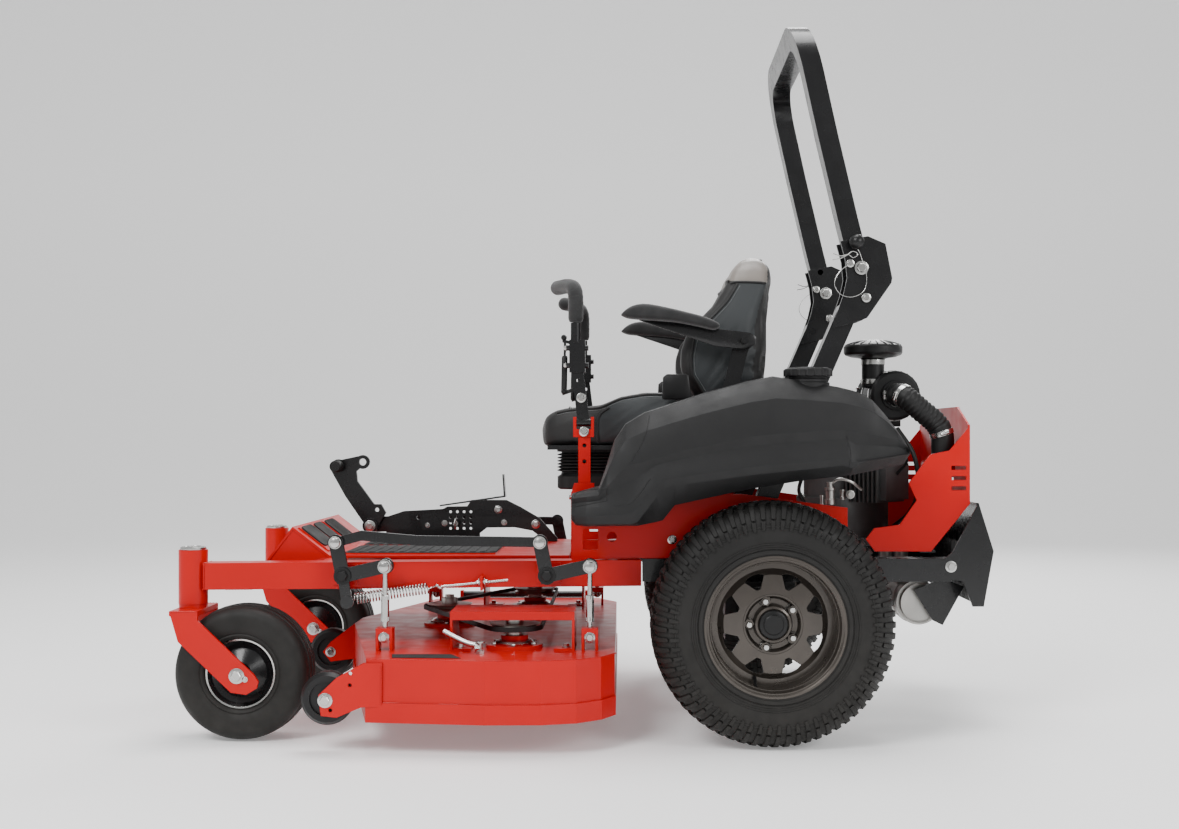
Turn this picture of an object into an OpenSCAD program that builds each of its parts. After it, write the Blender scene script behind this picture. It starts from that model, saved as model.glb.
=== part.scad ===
/* [Machine] */
// Distance from the machine's centre plane to the middle of the whole width
centre_y = -92; // [-120:1:0]
// Half the outer width of the body side plates
body_half = 358; // [340:1:362]
// Height of the underside of the front rails
rail_z = 365; // [340:1:380]
// Side of the square tube of the front rails
rail_w = 65; // [50:1:70]
// Half the outer width of the rear rails
rear_half = 332; // [310:1:335]

/* [Wheels] */
// Radius of the drive tyres
drive_r = 292; // [280:1:300]
// Width of the drive tyres
drive_w = 255; // [230:1:260]
// Radius of the drive rim where the tyre sits
drive_rim_r = 166; // [155:1:175]
// Height of the drive axle
axle_z = 292; // [280:1:300]
// Distance of the drive axle behind the middle
axle_x = 434; // [420:1:440]
// Radius of the caster tyres
caster_r = 165; // [150:1:168]
// Width of the caster tyres
caster_w = 140; // [120:1:145]
// Radius of the caster rims
caster_rim_r = 84; // [70:1:90]
// Sideways distance of the casters from the centre plane
caster_y = 432; // [425:1:440]
// Position of the swivel stem along the machine
stem_x = -978; // [-985:1:-970]
// Distance of the caster axle behind the swivel stem
caster_trail = 130; // [120:1:135]

/* [Cutting deck] */
// Height of the lower edge of the deck skirt
deck_low = 76; // [60:1:90]
// Height of the top face of the deck
deck_top = 222; // [210:1:230]
// Thickness of the deck plate
deck_t = 6; // [4:1:8]
// Length of a blade
blade_l = 444; // [400:1:446]
// Radius of the anti-scalp rollers
roller_r = 62; // [50:1:64]

/* [Deck lift] */
// Height of the lift crank pivots
crank_z = 400; // [395:1:405]
// Position of the front lift crank pivots
crank_front_x = -604; // [-620:1:-590]
// Position of the rear lift crank pivots
crank_rear_x = -108; // [-120:1:-100]

/* [Operator station] */
// Height of the steering lever pivots
lever_z = 600; // [595:1:605]
// Sideways distance of the steering levers
lever_y = 342; // [338:1:344]
// Height of the underside of the seat cushion
seat_z = 716; // [710:1:725]
// Sideways distance of the armrests
arm_y = 290; // [280:1:292]

/* [Roll bar] */
// Height of the roll bar fold pivot
fold_z = 1161; // [1150:1:1170]
// Position of the roll bar fold pivot along the machine
fold_x = 674; // [665:1:680]
// Height of the top of the roll bar
rops_top = 1802; // [1780:1:1820]
// Wall of the roll bar tube
rops_wall = 4; // [3:1:6]

/* [Hidden] */
$fn = 48;
red = [0.75, 0.04, 0.04];
black = [0.06, 0.06, 0.07];
charcoal = [0.16, 0.16, 0.17];
steel = [0.7, 0.7, 0.72];
rubber = [0.09, 0.085, 0.08];
bronze = [0.33, 0.3, 0.28];
grey = [0.4, 0.4, 0.42];
fit = 0.05;
gap = 0.3;
rail_y0 = 430;
rail_y1 = 335;
rail_x0 = -945;
rail_x1 = 120;
drive_y = 492;
caster_x = stem_x + caster_trail;
leg_in = 290;
pin_r = 8;
crank_y = 462;
top_arm = [-17, 81];
hang_arm = [105, 24];
band_h = 46;
pin_x = -421;
pin_z = 474;
deck_plan = [[-520, -636], [-240, -670], [-110, -668], [-30, -646], [28, -600],
  [60, -540], [60, 560], [0, 668], [-420, 668],
  [-520, 636], [-670, 150], [-670, 20]];
spindles = [[-190, -425], [-400, 0], [-190, 425]];

// Shift from the machine's centre plane to the middle of the whole width
module mc() translate([0, centre_y, 0]) children();
module flip() mirror([0, 1, 0]) children();
module both() { children(); flip() children(); }
// Plate cut in the side view, from y0, t thick
module plate(pts, y0, t) translate([0, y0 + t, 0]) rotate([90, 0, 0]) linear_extrude(t) polygon(pts);
module rod_y(x, z, y0, y1, r) translate([x, y0, z]) rotate([-90, 0, 0]) cylinder(h = y1 - y0, r = r);
module rod_x(y, z, x0, x1, r) translate([x0, y, z]) rotate([0, 90, 0]) cylinder(h = x1 - x0, r = r);
module hex_y(x, z, y0, y1, r)
  translate([x, y0, z]) rotate([-90, 0, 0]) cylinder(h = y1 - y0, r = r, $fn = 6);
module block(x0, x1, y0, y1, z0, z1) translate([x0, y0, z0]) cube([x1 - x0, y1 - y0, z1 - z0]);
// Straight bar in the side view between two points
module bar(a, b, w, y0, y1)
  translate([a[0], y0, a[1]]) rotate([0, -atan2(b[1] - a[1], b[0] - a[0]), 0])
    translate([0, 0, -w / 2]) cube([norm(b - a), y1 - y0, w]);
// Rounded rectangle centred on the origin
module round_rect(w, h, r) {
  square([w - 2 * r, h], center = true);
  square([w, h - 2 * r], center = true);
  for (x = [-1, 1], y = [-1, 1]) translate([x * (w / 2 - r), y * (h / 2 - r)]) circle(r);
}
// Outline of a band of width w along a path, with mitred corners
function strip(p, w) = let(
    n = len(p) - 1,
    d = [for (i = [0:n - 1]) (p[i + 1] - p[i]) / norm(p[i + 1] - p[i])],
    m = [for (i = [0:n]) let(b = d[min(i, n - 1)], t = (d[max(i - 1, 0)] + b) / norm(d[max(i - 1, 0)] + b))
      [-t[1], t[0]] * w / 2 / (t * b)])
  concat([for (i = [0:n]) p[i] + m[i]], [for (i = [n:-1:0]) p[i] - m[i]]);
function inset(pts, c, d) = [for (p = pts) c + (p - c) * (1 - d / norm(p - c))];

module rail(inner) {
  len_xy = norm([rail_x1 - rail_x0, rail_y0 - rail_y1]);
  wall = inner ? 5 : 0;
  translate([rail_x0, rail_y0, rail_z + wall])
    rotate([0, 0, -atan2(rail_y0 - rail_y1, rail_x1 - rail_x0)])
      translate([inner ? 30 : 0, -rail_w / 2 + wall, 0])
        cube([len_xy, rail_w - 2 * wall, rail_w - 2 * wall]);
}

module frame_side() {
  difference() {
    union() {
      rail(false);
      translate([stem_x, caster_y, 329]) cylinder(h = 132, r = 35);
      plate([[-52, 430], [640, 444], [640, 560], [380, 594], [5, 600], [5, 622], [-45, 622],
        [-52, 600]], body_half - 6, 6);
      block(-52, 100, 300, body_half, rail_z + 30, rail_z + rail_w);
    }
    rail(true);
    translate([stem_x, caster_y, 320]) cylinder(h = 150, r = 20 + fit);
    block(-23, 14, body_half - 12, body_half + 12, 455, 506);
    rod_y(49, 487, body_half - 12, body_half + 12, 12);
  }
  rod_y(-20, lever_z, 300, body_half - 3, pin_r);
  for (x = [crank_front_x, crank_rear_x]) {
    rod_y(x, crank_z, 392, 474, 12);
    block(x - 30, x + 30, x < -400 ? 420 : 370, x < -400 ? 438 : 394, 375, 425);
  }
}

module main_frame() mc() color(red) {
  both() frame_side();
  block(-672, -622, -380, 380, rail_z + 5, 430 - gap);
  block(40, 90, -330, 330, rail_z + 5, 430 - gap);
  block(10, 300, 6 - body_half, body_half - 6, 594, 600);
  block(-52, 10, -280, 280, 594, 600);
  block(490, 540, 6 - body_half, body_half - 6, 505, 545);
}

module rear_frame() mc() color(black) {
  both() block(126, 905, rear_half - 64, rear_half, 372, 430);
  block(240, 290, 64 - rear_half, rear_half - 64, 380, 430);
  block(840, 880, 64 - rear_half, rear_half - 64, 440, 446);
  both() plate([[874, 418], [909, 446], [975, 571], [1013, 449], [988, 309], [960, 309],
    [936, 372], [905, 380]], rear_half - 6, 6);
  plate([[969, 571], [975, 571], [1013, 449], [1007, 449]], 6 - rear_half, 2 * rear_half - 12);
  plate([[1007, 449], [1013, 449], [988, 309], [982, 309]], 6 - rear_half, 2 * rear_half - 12);
  plate([[905, 380], [988, 380], [988, 374], [905, 374]], 6 - rear_half, 2 * rear_half - 12);
  both() plate([[830, 340], [905, 372], [960, 350], [905, 250], [880, 262]], 230, 6);
  both() block(840, 905, 230, rear_half - 64, 366, 372);
}

module engine_guard() mc() color(red) {
  difference() {
    both() plate([[804, 620], [859, 693], [908, 703], [955, 760], [960, 568], [861, 446],
      [718, 446], [695, 477], [716, 505], [781, 514], [824, 576]], 297, 6);
    for (z = [602, 628, 654]) block(913, 950, -310, 310, z, z + 10);
  }
  difference() {
    translate([955, 0, 0]) rotate([90, 0, 90]) linear_extrude(5)
      polygon([[-303, 568], [303, 568], [303, 768], [177, 817], [-177, 817], [-303, 768]]);
    for (z = [620:24:740], y = [-120:60:120]) block(950, 965, y - 20, y + 20, z, z + 10);
  }
}

module foot_platform() mc() color(red) {
  plate([[-833, 420], [-765, 509], [-670, 436], [-60, 436], [-60, 430], [-672, 430],
    [-764, 501], [-828, 417]], -300, 600);
  both() plate([[-829, 419], [-765, 505], [-672, 433], [-745, 417]], 292, 6);
  color(black) for (m = [[-270, 255], [15, 135]]) {
    block(-640, -250, m[0], m[0] + m[1], 435, 440);
    plate([[-758, 502], [-680, 442], [-678, 447], [-755, 506]], m[0], m[1]);
  }
}

tank_top = [[628, 668], [748, 692], [759, 704], [748, 730], [707, 794], [674, 830], [637, 850],
  [589, 862], [439, 886], [381, 875], [274, 846], [128, 798], [83, 771], [56, 730], [22, 622],
  [-46, 603], [-48, 537], [-34, 523], [112, 525], [171, 537], [200, 575], [300, 597], [377, 613],
  [491, 632]];
tank_in = 362;

module tank() {
  plate(tank_top, tank_in, 198);
  plate(inset(tank_top, [330, 700], 14), tank_in + 198, 16);
  plate(inset(tank_top, [330, 700], 34), tank_in + 214, 14);
}

module tank_left() mc() color(charcoal) flip() {
  tank();
  translate([525, 480, 850]) cylinder(h = 48, r = 47);
}

module tank_right() mc() color(charcoal) tank();

module console() mc() color(black) {
  plate([[124, 797.5], [274, 846.8], [270, 868], [116, 820]], 410, 130);
  translate([180, 450, 818]) rotate([0, -18.2, 0]) cylinder(h = 21, r = 12);
  rod_y(235, 848, 394, 411, 4);
}

module pto_knob() mc() color([0.8, 0.65, 0.05])
  translate([180, 500, 815]) rotate([0, -18.2, 0]) {
    translate([0, 0, 24 + gap]) cylinder(h = 20, r = 6);
    translate([0, 0, 40]) cylinder(h = 12, r = 19);
  }

module throttle_lever() mc() color(black) difference() {
  union() {
    rod_y(235, 848, 398, 409.7, 9);
    bar([235, 848], [250, 895], 12, 400, 407);
    translate([251, 403.5, 898]) sphere(12);
  }
  rod_y(235, 848, 390, 415, 4 + fit);
}

module fuel_cap() mc() color(black) translate([525, -480, 0]) difference() {
  union() {
    translate([0, 0, 884]) cylinder(h = 18, r = 58);
    translate([0, 0, 900]) cylinder(h = 6, r = 50);
    for (a = [0:20:340]) rotate([0, 0, a]) translate([56, -4, 885]) cube([4, 8, 14]);
  }
  translate([0, 0, 880]) cylinder(h = 18.3, r = 47 + fit);
}

module engine() mc() color(black) {
  translate([680, 0, 455]) cylinder(h = 120, r = 125);
  block(560, 800, -140, 140, 448, 470);
  translate([680, 0, 575]) cylinder(h = 120, r = 105);
  translate([660, 0, 695]) cylinder(h = 70, r = 135);
  translate([660, 0, 765]) cylinder(h = 14, r = 110);
  for (s = [-1, 1]) translate([700, s * 60, 620]) rotate([0, 0, s * 45]) {
    for (i = [0:7]) translate([20 + i * 14, -62, -55]) cube([5, 124, 110]);
    translate([10, -40, -42]) cube([112, 80, 84]);
    translate([124, -52, -48]) cube([20, 104, 96]);
  }
  translate([680, 0, 400]) cylinder(h = 60, r = 28);
  translate([680, 0, 405]) cylinder(h = 30, r = 70);
  translate([560, -110, 520]) rotate([0, 90, 0]) cylinder(h = 60, r = 38);
}

module air_cleaner() mc() color(black) {
  rod_y(800, 848, -150, 70, 66);
  rod_y(800, 848, 50, 78, 74);
  rod_y(800, 848, -158, -148, 40);
  translate([748, -100, 880]) cylinder(h = 72, r = 30);
  translate([748, -100, 950]) cylinder(h = 14, r1 = 62, r2 = 78);
  translate([748, -100, 964]) cylinder(h = 20, r = 78);
  translate([748, -100, 984]) cylinder(h = 13, r1 = 70, r2 = 36);
  block(772, 830, -60, -20, 765, 800);
}

module intake_hose() mc() color(rubber) {
  rod_y(800, 848, -236, -158 - gap, 32);
  translate([800, -236, 848]) sphere(32);
  bar([800, 848], [905, 760], 62, -267, -205);
  translate([905, -236, 760]) sphere(31);
  translate([905, -236, 640]) cylinder(h = 120, r = 31);
}

module muffler() mc() color(steel) {
  rod_y(850, 305, -200, 200, 58);
  both() rod_y(850, 305, 198, 208, 50);
  translate([870, 120, 250]) rotate([0, 70, 0]) cylinder(h = 90, r = 20);
  for (y = [-120, 120]) translate([820, y, 350]) cylinder(h = 98, r = 18);
}

module seat_base() mc() color(black) {
  block(-95, 260, -190, 190, 600, 612);
  block(-80, 250, -170, 170, 612, 690);
  for (z = [622:20:682]) block(-88, 255, -178, 178, z, z + 8);
  block(-100, 280, -195, 195, 690, 704);
}

module transaxles() mc() color(grey) both() difference() {
  union() {
    block(340, 520, 110, 262, 215, 365);
    rod_y(axle_x, axle_z, 255, 355, 46);
    rod_y(axle_x, axle_z, 240, 300, 62);
    translate([370, 180, 365]) cylinder(h = 60, r = 30);
    translate([370, 180, 400]) cylinder(h = 12, r = 60);
  }
  rod_y(axle_x, axle_z, 290, 400, 17.5 + fit);
}

leg_path = [[429, 480], [429, 560], [577, 903], [621, 1004], [645, 1060]];
module rops_legs() mc() color(black) both() {
  plate(strip(leg_path, 50), leg_in, 60);
  block(402, 456, leg_in + 2, rear_half, 430, 490);
  difference() {
    union() for (y = [leg_in - 8, leg_in + 60])
      plate([[622, 1228], [691, 1241], [735, 1222], [752, 1136], [750, 1124], [689, 1036],
        [672, 1029], [600, 1010], [630, 1095], [639, 1136], [634, 1183], [628, 1206]], y, 8);
    rod_y(659, 1223, 270, 370, pin_r + fit);
  }
  rod_y(fold_x, fold_z, leg_in - 14, leg_in + 76, 12);
  rod_y(646, 1172, leg_in + 66, leg_in + 72, 10);
  rod_y(686, 1086, leg_in - 12, leg_in + 72, 8);
}

hoop_path = [[676, 1152], [644, 1277], [591, 1501], [560, 1641]];
hoop_half = leg_in + 59.5;
// Front view of the hoop, drawn smaller by t all round
module hoop_front(t) difference() {
  translate([0, rops_top - t - 500]) round_rect(2 * (hoop_half - t), 1000, 150 - t);
  translate([0, rops_top - 59 + t - 500]) round_rect(2 * (hoop_half - 59 + t), 1000, 91 + t);
}
// Bent tube of the hoop, drawn smaller by t for its hollow, with its lower end at first
module hoop_tube(t, first) intersection() {
  plate(strip([first, hoop_path[1], hoop_path[2], hoop_path[3], [515, 1845]], 50 - 2 * t), -350, 700);
  translate([400, 0, 0]) rotate([90, 0, 90]) linear_extrude(400) hoop_front(t);
}
module rops_hoop() mc() color(black) difference() {
  hoop_tube(0, hoop_path[0]);
  hoop_tube(rops_wall, hoop_path[0] + [5.1, -20]);
  both() rod_y(fold_x, fold_z, 200, 400, 12 + fit);
  both() rod_y(659, 1223, 200, 400, pin_r + fit);
}

// Spring plunger held out, with its tip just clear of the hoop's outer wall
module lock_pin() {
  rod_y(659, 1223, leg_in + 60 + gap, leg_in + 90, pin_r);
  translate([659, leg_in + 96, 1223]) sphere(19);
  rod_y(659, 1223, leg_in + 77, leg_in + 84, 12);
}
module lock_pin_left() mc() color(black) flip() lock_pin();
module lock_pin_right() mc() color(black) lock_pin();

module frame_bolts() mc() color(steel) {
  both() {
    translate([stem_x, caster_y, 461]) cylinder(h = 9, r = 31);
    for (x = [crank_front_x, crank_rear_x]) rod_y(x, crank_z, 474, 480, 20);
    hex_y(905, 410, rear_half, rear_half + 8, 10);
    for (p = [[200, 480], [330, 500], [470, 510]]) hex_y(p[0], p[1], body_half, body_half + 4, 9);
  }
}

module height_plate() mc() color(black) {
  difference() {
    plate([[-607, 507], [-556, 524], [-444, 530], [-430, 537], [-373, 538], [-361, 556], [-259, 556],
      [-219, 536], [-164, 504], [-113, 447], [-113, 440], [-150, 440], [-184, 467], [-236, 477],
      [-316, 476], [-336, 460], [-336, 440], [-607, 440]], 196, 8);
    for (i = [0:3], j = [0:3]) rod_y(pin_x + i * 19.5, pin_z + j * 16, 180, 220, 4);
    rod_y(-514, 505, 180, 220, 5);
  }
  block(-560, -113, 196, 236, 436 + gap, 442);
  plate([[-453, 541], [-268, 568], [-272, 630], [-268, 630], [-263, 564], [-453, 537]], 200, 44);
  rod_y(-648, 483, 160, 204, 10);
  bar([-649, 485], [-600, 487], 44, 196, 204);
}

module height_pin() mc() color(steel) translate([pin_x + 19.5, 0, pin_z + 16]) {
  rod_y(0, 0, 176, 230, 3.9);
  rod_y(0, 0, 150, 176, 7);
  translate([0, 150, 0]) rotate([0, 90, 0]) rotate_extrude() translate([14, 0]) circle(2);
}

module lift_pedal() mc() color(black) difference() {
  union() {
    rod_y(-648, 483, 164, 195.7, 22);
    plate([[-662, 468], [-668, 492], [-720, 568], [-760, 640], [-752, 668], [-668, 686], [-653, 669],
      [-688, 639], [-685, 611], [-666, 585], [-637, 545], [-617, 545], [-603, 520], [-626, 484],
      [-634, 466]], 170, 12);
    for (p = [[-740, 654], [-670, 666]]) rod_y(p[0], p[1], 170, 182, 20);
    rod_y(-740, 654, 120, 232, 14);
  }
  rod_y(-648, 483, 150, 210, 10 + fit);
  rod_y(-670, 666, 160, 190, 10);
  rod_y(-629, 529, 160, 190, 6);
}

module caster_fork() {
  translate([stem_x, caster_y, 318]) cylinder(h = 138, r = 20);
  translate([stem_x, caster_y, 319]) cylinder(h = 10 - gap, r = 34);
  block(stem_x - 32, stem_x + 36, caster_y - 90, caster_y + 90, 308, 320);
  for (s = [-1, 1]) plate([[-1010, 320], [-989, 247], [-862, 125], [-825, 120], [-800, 135],
    [-796, 151], [-807, 168], [-942, 297], [-942, 320]], caster_y + (s > 0 ? 82 : -90), 8);
  rod_y(caster_x, caster_r, caster_y - 98, caster_y + 98, 10);
}
module caster_fork_left() mc() color(red) flip() caster_fork();
module caster_fork_right() mc() color(red) caster_fork();

// Wheel parts are turned about their own axle, then stood upright
module stand(x, y, z) translate([x, y, z]) rotate([-90, 0, 0]) children();
// Tyre of outer radius ro on a rim of radius ri, w wide, open at the bead
module tyre(ro, ri, w, wall, round_r) difference() {
  rotate_extrude() translate([(ro + ri) / 2, 0]) difference() {
    round_rect(ro - ri, w, round_r);
    translate([-wall, 0]) round_rect(ro - ri, w - 2 * wall, round_r - wall);
  }
  cylinder(h = w + 2, r = ri, center = true);
}
module caster_tyre() stand(caster_x, caster_y, caster_r)
  tyre(caster_r, caster_rim_r, caster_w, 12, 34);
module caster_tyre_left() mc() color(rubber) flip() caster_tyre();
module caster_tyre_right() mc() color(rubber) caster_tyre();
module caster_rim() stand(caster_x, caster_y, caster_r) difference() {
  rotate_extrude() polygon([[0, -79], [26, -79], [28, -60], [60, -40], [72, -44], [caster_rim_r, -52],
    [caster_rim_r, 52], [72, 44], [60, 40], [28, 60], [26, 79], [0, 79]]);
  cylinder(h = 200, r = 10 + fit, center = true);
}
module caster_rim_left() mc() color(black) flip() caster_rim();
module caster_rim_right() mc() color(black) caster_rim();

module drive_tyre() stand(axle_x, drive_y, axle_z) tyre(drive_r, drive_rim_r, drive_w, 14, 42);
module drive_tyre_left() mc() color(rubber) flip() drive_tyre();
module drive_tyre_right() mc() color(rubber) drive_tyre();
module drive_rim() stand(axle_x, drive_y, axle_z) {
  difference() {
    rotate_extrude() polygon([[0, 38], [60, 38], [72, 52], [118, 50], [132, 40], [146, 40], [150, 66],
      [152, 96], [158, 110], [drive_rim_r, 112], [drive_rim_r, -112], [160, -112], [150, -96],
      [144, 30], [130, 30], [116, 42], [76, 44], [60, 30], [0, 30]]);
    for (a = [0:45:315]) rotate([0, 0, a + 22.5]) linear_extrude(90)
      polygon([[88, -5], [117, -25], [123, -14], [125, 0], [123, 14], [117, 25], [88, 5]]);
  }
  for (a = [0:4]) rotate([0, 0, 72 * a + 37]) translate([57, 0, 38]) cylinder(h = 16, r = 12, $fn = 6);
  translate([0, 0, 36]) cylinder(h = 26, r = 32);
  translate([0, 0, -30]) cylinder(h = 62, r = 50);
  translate([0, 0, 300 - drive_y]) cylinder(h = drive_y - 300, r = 17.5);
}
module drive_rim_left() mc() color(bronze) flip() drive_rim();
module drive_rim_right() mc() color(bronze) drive_rim();

module lever_base() difference() {
  union() {
    bar([-20, lever_z], [-20, 745], 31, lever_y - 4, lever_y + 4);
    rod_y(-20, lever_z, lever_y - 26, lever_y + 2, 19);
    difference() {
      block(-48, 4, lever_y - 10, lever_y + 6, 737, 788);
      block(-40.3, -3.7, lever_y - 20, lever_y + 20, 757, 800);
    }
    rod_x(lever_y - 2, 774, -44, 0, 6);
  }
  rod_y(-20, lever_z, 200, 400, pin_r + fit);
  for (z = [676, 716]) rod_y(-20, z, 300, 400, 5);
}
module lever_base_left() mc() color(red) flip() lever_base();
module lever_base_right() mc() color(red) lever_base();

module lever() difference() {
  union() {
    rod_x(lever_y - 2, 774, -40, -4, 9.5);
    bar([-22, 774], [-38, 905], 30, lever_y - 6, lever_y + 2);
    block(-58, -18, lever_y - 20, lever_y + 6, 900, 982);
    translate([-42, lever_y - 4, 975]) cylinder(h = 50, r = 13);
    for (z = [918, 962]) rod_x(lever_y - 8, z, -66, -10, 7);
  }
  rod_x(lever_y - 2, 774, -60, 20, 6 + fit);
  rod_y(-35, 880, 300, 400, 5);
}
module lever_left() mc() color(black) flip() lever();
module lever_right() mc() color(black) lever();

module grip() {
  translate([-42, lever_y - 4, 1025]) cylinder(h = 95, r = 19);
  translate([-42, lever_y - 4, 1120]) sphere(19);
  translate([-42, lever_y - 4, 1120]) rotate([88, 0, 0]) rotate([0, -24, 0]) {
    cylinder(h = 145, r = 19);
    translate([0, 0, 145]) sphere(19);
  }
}
module grip_left() mc() color(rubber) flip() grip();
module grip_right() mc() color(rubber) grip();

module seat_pan() mc() color(black) {
  block(-120, 330, -215, 215, 704 + gap, seat_z - gap);
  block(330, 345, -180, 180, 704 + gap, 800);
  both() bar([330, 760], [386, 982], 40, 222, 231);
  both() block(305, 345, 170, 232, 704 + gap, 790);
  both() rod_y(386, 982, 221, 232, 24);
  both() rod_y(386, 982, 225, 322, 9);
}

module seat_cushion() mc() color(grey) {
  translate([85, 0, 770]) rotate([90, 0, 0])
    linear_extrude(440, center = true) round_rect(430, 2 * (770 - seat_z), 45);
  both() block(-80, 245, 150, 220, 790, 845);
}

module seat_back() mc() color(grey) {
  plate([[290, 826], [360, 826], [436, 890], [470, 1100], [468, 1195], [430, 1219], [410, 1215],
    [380, 1150], [340, 1030], [270, 900]], -190, 380);
  both() plate([[262, 850], [430, 890], [465, 1100], [440, 1160], [330, 1110], [284, 1056],
    [234, 993], [225, 905]], 190, 28);
}

module armrest() difference() {
  union() {
    bar([386, 982], [110, 1020], 40, arm_y - 22, arm_y - 14);
    plate([[396, 1002], [330, 1026], [285, 1045], [214, 1063], [126, 1081], [95, 1071], [73, 1052],
      [84, 1030], [130, 1012], [300, 1000]], arm_y - 32, 62);
    rod_y(386, 982, arm_y - 30, arm_y + 20, 24);
  }
  rod_y(386, 982, 200, 400, 9 + fit);
}
module armrest_left() mc() color(black) flip() armrest();
module armrest_right() mc() color(black) armrest();

module crank(x) translate([x, 0, crank_z]) difference() {
  union() {
    plate(strip([top_arm, [0, 0], hang_arm], 34), crank_y, 10);
    for (a = [top_arm, hang_arm]) rod_y(a[0], a[1], crank_y, crank_y + 10, 19);
    rod_y(0, 0, 440, crank_y + 9, 22);
    rod_y(top_arm[0], top_arm[1], crank_y - 12 - gap, crank_y + 16, pin_r);
    rod_y(hang_arm[0], hang_arm[1], crank_y + 2, crank_y + 34, pin_r);
  }
  rod_y(0, 0, 400, 500, 12 + fit);
}
module crank_front() {
  crank(crank_front_x);
  difference() {
    union() {
      bar([crank_front_x, crank_z], [-594, 336], 26, crank_y + 1, crank_y + 9);
      rod_y(-594, 336, crank_y, crank_y + 11, 16);
    }
    rod_y(crank_front_x, crank_z, 400, 500, 12 + fit);
  }
}
module crank_front_left() mc() color(black) flip() crank_front();
module crank_front_right() mc() color(black) crank_front();
module crank_rear_left() mc() color(black) flip() crank(crank_rear_x);
module crank_rear_right() mc() color(black) crank(crank_rear_x);

module drag_link() difference() {
  a = [crank_front_x, crank_z] + top_arm;
  b = [crank_rear_x, crank_z] + top_arm;
  union() {
    plate(strip([a, a + [60, 16], b - [300, -4], b], 24), crank_y - 12, 12 - gap);
    for (p = [a, b]) rod_y(p[0], p[1], crank_y - 12, crank_y - gap, 15);
  }
  for (p = [a, b]) rod_y(p[0], p[1], 400, 500, pin_r + fit);
}
module drag_link_left() mc() color(black) flip() drag_link();
module drag_link_right() mc() color(black) drag_link();

hang_y = crank_y + 10 + gap;
module hanger(x) difference() {
  union() {
    rod_y(x, crank_z + hang_arm[1], hang_y, hang_y + 16, 17);
    translate([x, hang_y + 8, 246]) cylinder(h = 165, r = 6);
    translate([x, hang_y + 8, 290]) cylinder(h = 60, r = 10);
  }
  rod_y(x, crank_z + hang_arm[1], 400, 520, pin_r + fit);
}
module deck_hangers() mc() color(steel) both() {
  hanger(crank_front_x + hang_arm[0]);
  hanger(crank_rear_x + hang_arm[0]);
}

module roller_bracket() {
  difference() {
    plate([[-480, 214], [-524, 214], [-586, 180], [-628, 140], [-622, 92], [-586, 88], [-528, 112],
      [-480, 112]], 632, 8);
    for (p = [[-554, 190], [-555, 163], [-600, 105]]) rod_y(p[0], p[1], 600, 660, 4.5);
  }
  rod_y(-612, 128, 570, 638, pin_r);
}
// Bridge over an outer spindle pulley, open to the side of the machine
module belt_guard() {
  block(-340, -40, 350, 500, 310, 316);
  block(-340, -40, 494, 500, 296, 313);
  for (x = [-340, -46]) {
    block(x, x + 6, 350, 500, deck_top - 1, 313);
    block(x < -100 ? -336 : -90, x < -100 ? -290 : -44, 440, 496, deck_top - 1, deck_top + 5);
  }
}
module deck_shell() mc() color(red) {
  difference() {
    union() {
      translate([0, 0, deck_low]) linear_extrude(band_h) polygon(deck_plan);
      translate([0, 0, deck_low]) linear_extrude(deck_top - deck_low)
        polygon(inset(deck_plan, [-280, 0], 5));
    }
    translate([0, 0, deck_low - 1]) linear_extrude(deck_top - deck_t - deck_low + 1)
      polygon(inset(deck_plan, [-280, 0], 9));
    for (s = spindles) translate([s[0], s[1], 200]) cylinder(h = 40, r = 13.55);
    block(-400, -70, 640, 690, 96, 206);
  }
  for (s = spindles) translate([s[0], s[1], deck_top]) difference() {
    union() {
      cylinder(h = 8, r = 70);
      cylinder(h = 30, r = 34);
    }
    translate([0, 0, -1]) cylinder(h = 32, r = 12.5 + fit);
  }
  both() for (x = [crank_front_x, crank_rear_x]) difference() {
    block(x + 85, x + 125, 460, 500, deck_top, 276);
    block(x + 92, x + 118, 455, 505, deck_top - 1, 262);
    translate([x + hang_arm[0], hang_y + 8, 250]) cylinder(h = 40, r = 6);
  }
  flip() roller_bracket();
  roller_bracket();
  plate([[-660, 215], [-660, 120], [-740, 110], [-762, 137], [-740, 165], [-668, 220]], 62, 8);
  rod_y(-740, 137, 62, 132, pin_r);
  both() belt_guard();
  for (x = [-445, -45]) block(x, x + 10, 660, 690, 214, 245);
  rod_x(680, 232, -445, -35, 5);
}

module discharge_deflector() mc() color(black) difference() {
  union() {
    rod_x(680, 232, -434, -46, 10);
    translate([-434, 0, 0]) rotate([90, 0, 90]) linear_extrude(388)
      polygon([[680, 242], [690, 240], [850, 170], [854, 120], [848, 120], [843, 164], [680, 230]]);
  }
  rod_x(680, 232, -500, 0, 5 + fit);
}

module spindle(p) translate([p[0], p[1], 0]) {
  translate([0, 0, 104]) cylinder(h = 200, r = 12.5);
  translate([0, 0, 96]) cylinder(h = 10, r = 20, $fn = 6);
  translate([0, 0, deck_top + 30 + gap]) cylinder(h = 8, r = 22);
  translate([0, 0, 264]) cylinder(h = 8, r1 = 63, r2 = 52);
  translate([0, 0, 272]) cylinder(h = 8, r1 = 52, r2 = 63);
  translate([0, 0, 280]) cylinder(h = 16, r = 22);
  rotate([0, 0, 12]) {
    translate([-blade_l / 2 + 1.4, -32, 108]) cube([blade_l - 2.8, 64, 6]);
    for (a = [0, 180]) rotate([0, 0, a]) translate([110, 20, 112]) cube([100, 12, 18]);
  }
}
module blade_left() mc() color(steel) spindle(spindles[0]);
module blade_centre() mc() color(steel) spindle(spindles[1]);
module blade_right() mc() color(steel) spindle(spindles[2]);

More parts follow.
